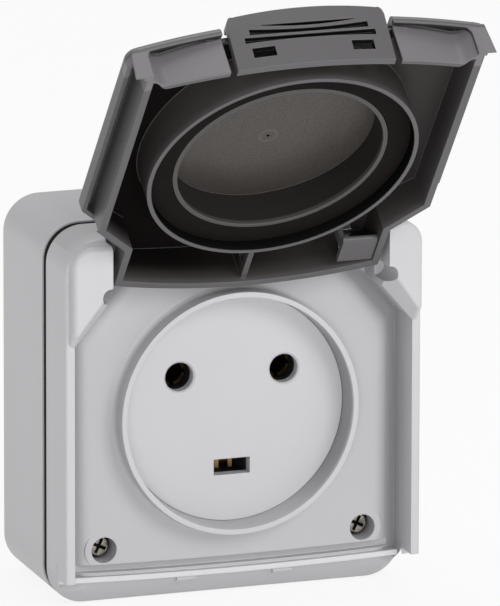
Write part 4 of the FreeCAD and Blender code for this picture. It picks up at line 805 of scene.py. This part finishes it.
def pale_floor():
    """Plain pale floor, wide enough for a view from any side."""
    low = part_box("back_box")[0].z - FLOOR_BELOW * MM
    corners = [(x * FLOOR_HALF, y * FLOOR_HALF, low) for x, y in ((-1, -1), (1, -1), (1, 1), (-1, 1))]
    mesh = bpy.data.meshes.new("floor")
    mesh.from_pydata(corners, [], [(0, 1, 2, 3)])
    floor = bpy.data.objects.new("floor", mesh)
    bpy.context.scene.collection.objects.link(floor)
    material, g = new_material("floor")
    diffuse = g.node("ShaderNodeBsdfDiffuse")
    diffuse.inputs["Color"].default_value = FLOOR_TONE
    white = g.node("ShaderNodeEmission")
    white.inputs["Color"].default_value = WHITE
    white.inputs["Strength"].default_value = 1.0
    ray = g.node("ShaderNodeLightPath")
    reflected = g.math("MAXIMUM", ray.outputs["Is Glossy Ray"], ray.outputs["Is Transmission Ray"])
    seen = g.math("MAXIMUM", ray.outputs["Is Camera Ray"], reflected)
    mixed = g.node("ShaderNodeMixShader")
    g.put(g.product(seen, FLOOR_WHITE), mixed.inputs[0])
    g.link(diffuse.outputs[0], mixed.inputs[1])
    g.link(white.outputs[0], mixed.inputs[2])
    g.link(mixed.outputs[0], g.node("ShaderNodeOutputMaterial").inputs["Surface"])
    mesh.materials.append(material)


def background(g, strength):
    made = g.node("ShaderNodeBackground")
    made.inputs["Color"].default_value = WHITE
    made.inputs["Strength"].default_value = strength
    return made.outputs[0]


def world():
    """Soft white light all round, and plain white behind the object."""
    scene_world = bpy.data.worlds.new("studio")
    scene_world.use_nodes = True
    bpy.context.scene.world = scene_world
    g = Graph(scene_world.node_tree)
    mixed = g.node("ShaderNodeMixShader")
    g.link(g.node("ShaderNodeLightPath").outputs["Is Camera Ray"], mixed.inputs[0])
    g.link(background(g, WORLD_LEVEL), mixed.inputs[1])
    g.link(background(g, 1.0), mixed.inputs[2])
    g.link(mixed.outputs[0], g.node("ShaderNodeOutputWorld").inputs["Surface"])


def area_light(name, place, target, size, power):
    data = bpy.data.lights.new(name, "AREA")
    data.shape = "RECTANGLE"
    data.size = size[0]
    data.size_y = size[1]
    data.energy = power
    lamp = bpy.data.objects.new(name, data)
    lamp.location = place
    lamp.rotation_mode = "QUATERNION"
    lamp.rotation_quaternion = (Vector(target) - Vector(place)).to_track_quat("-Z", "Y")
    bpy.context.scene.collection.objects.link(lamp)


def camera():
    """Camera at the photograph's own place, with its focal length and small roll."""
    data = bpy.data.cameras.new("camera")
    data.sensor_fit = "HORIZONTAL"
    data.sensor_width = SENSOR
    data.lens = FOCAL_PX * SENSOR / PICTURE_W
    data.clip_start = 0.1
    data.clip_end = 50.0
    ahead = math.cos(CAMERA_FALL)
    forward = Vector((math.sin(CAMERA_TURN) * ahead, math.cos(CAMERA_TURN) * ahead, -math.sin(CAMERA_FALL)))
    right = Vector((math.cos(CAMERA_TURN), -math.sin(CAMERA_TURN), 0.0))
    up = right.cross(forward)
    rolled_right = right * math.cos(CAMERA_ROLL) + up * math.sin(CAMERA_ROLL)
    rolled_up = up * math.cos(CAMERA_ROLL) - right * math.sin(CAMERA_ROLL)
    turn = Matrix((rolled_right, rolled_up, -forward)).transposed()
    eye = bpy.data.objects.new("camera", data)
    eye.matrix_world = Matrix.Translation(CAMERA_PLACE) @ turn.to_4x4()
    bpy.context.scene.collection.objects.link(eye)
    bpy.context.scene.camera = eye


pale_floor()
world()
for light in LIGHTS:
    area_light(*light)
camera()
scene = bpy.context.scene
scene.view_settings.view_transform = "Standard"
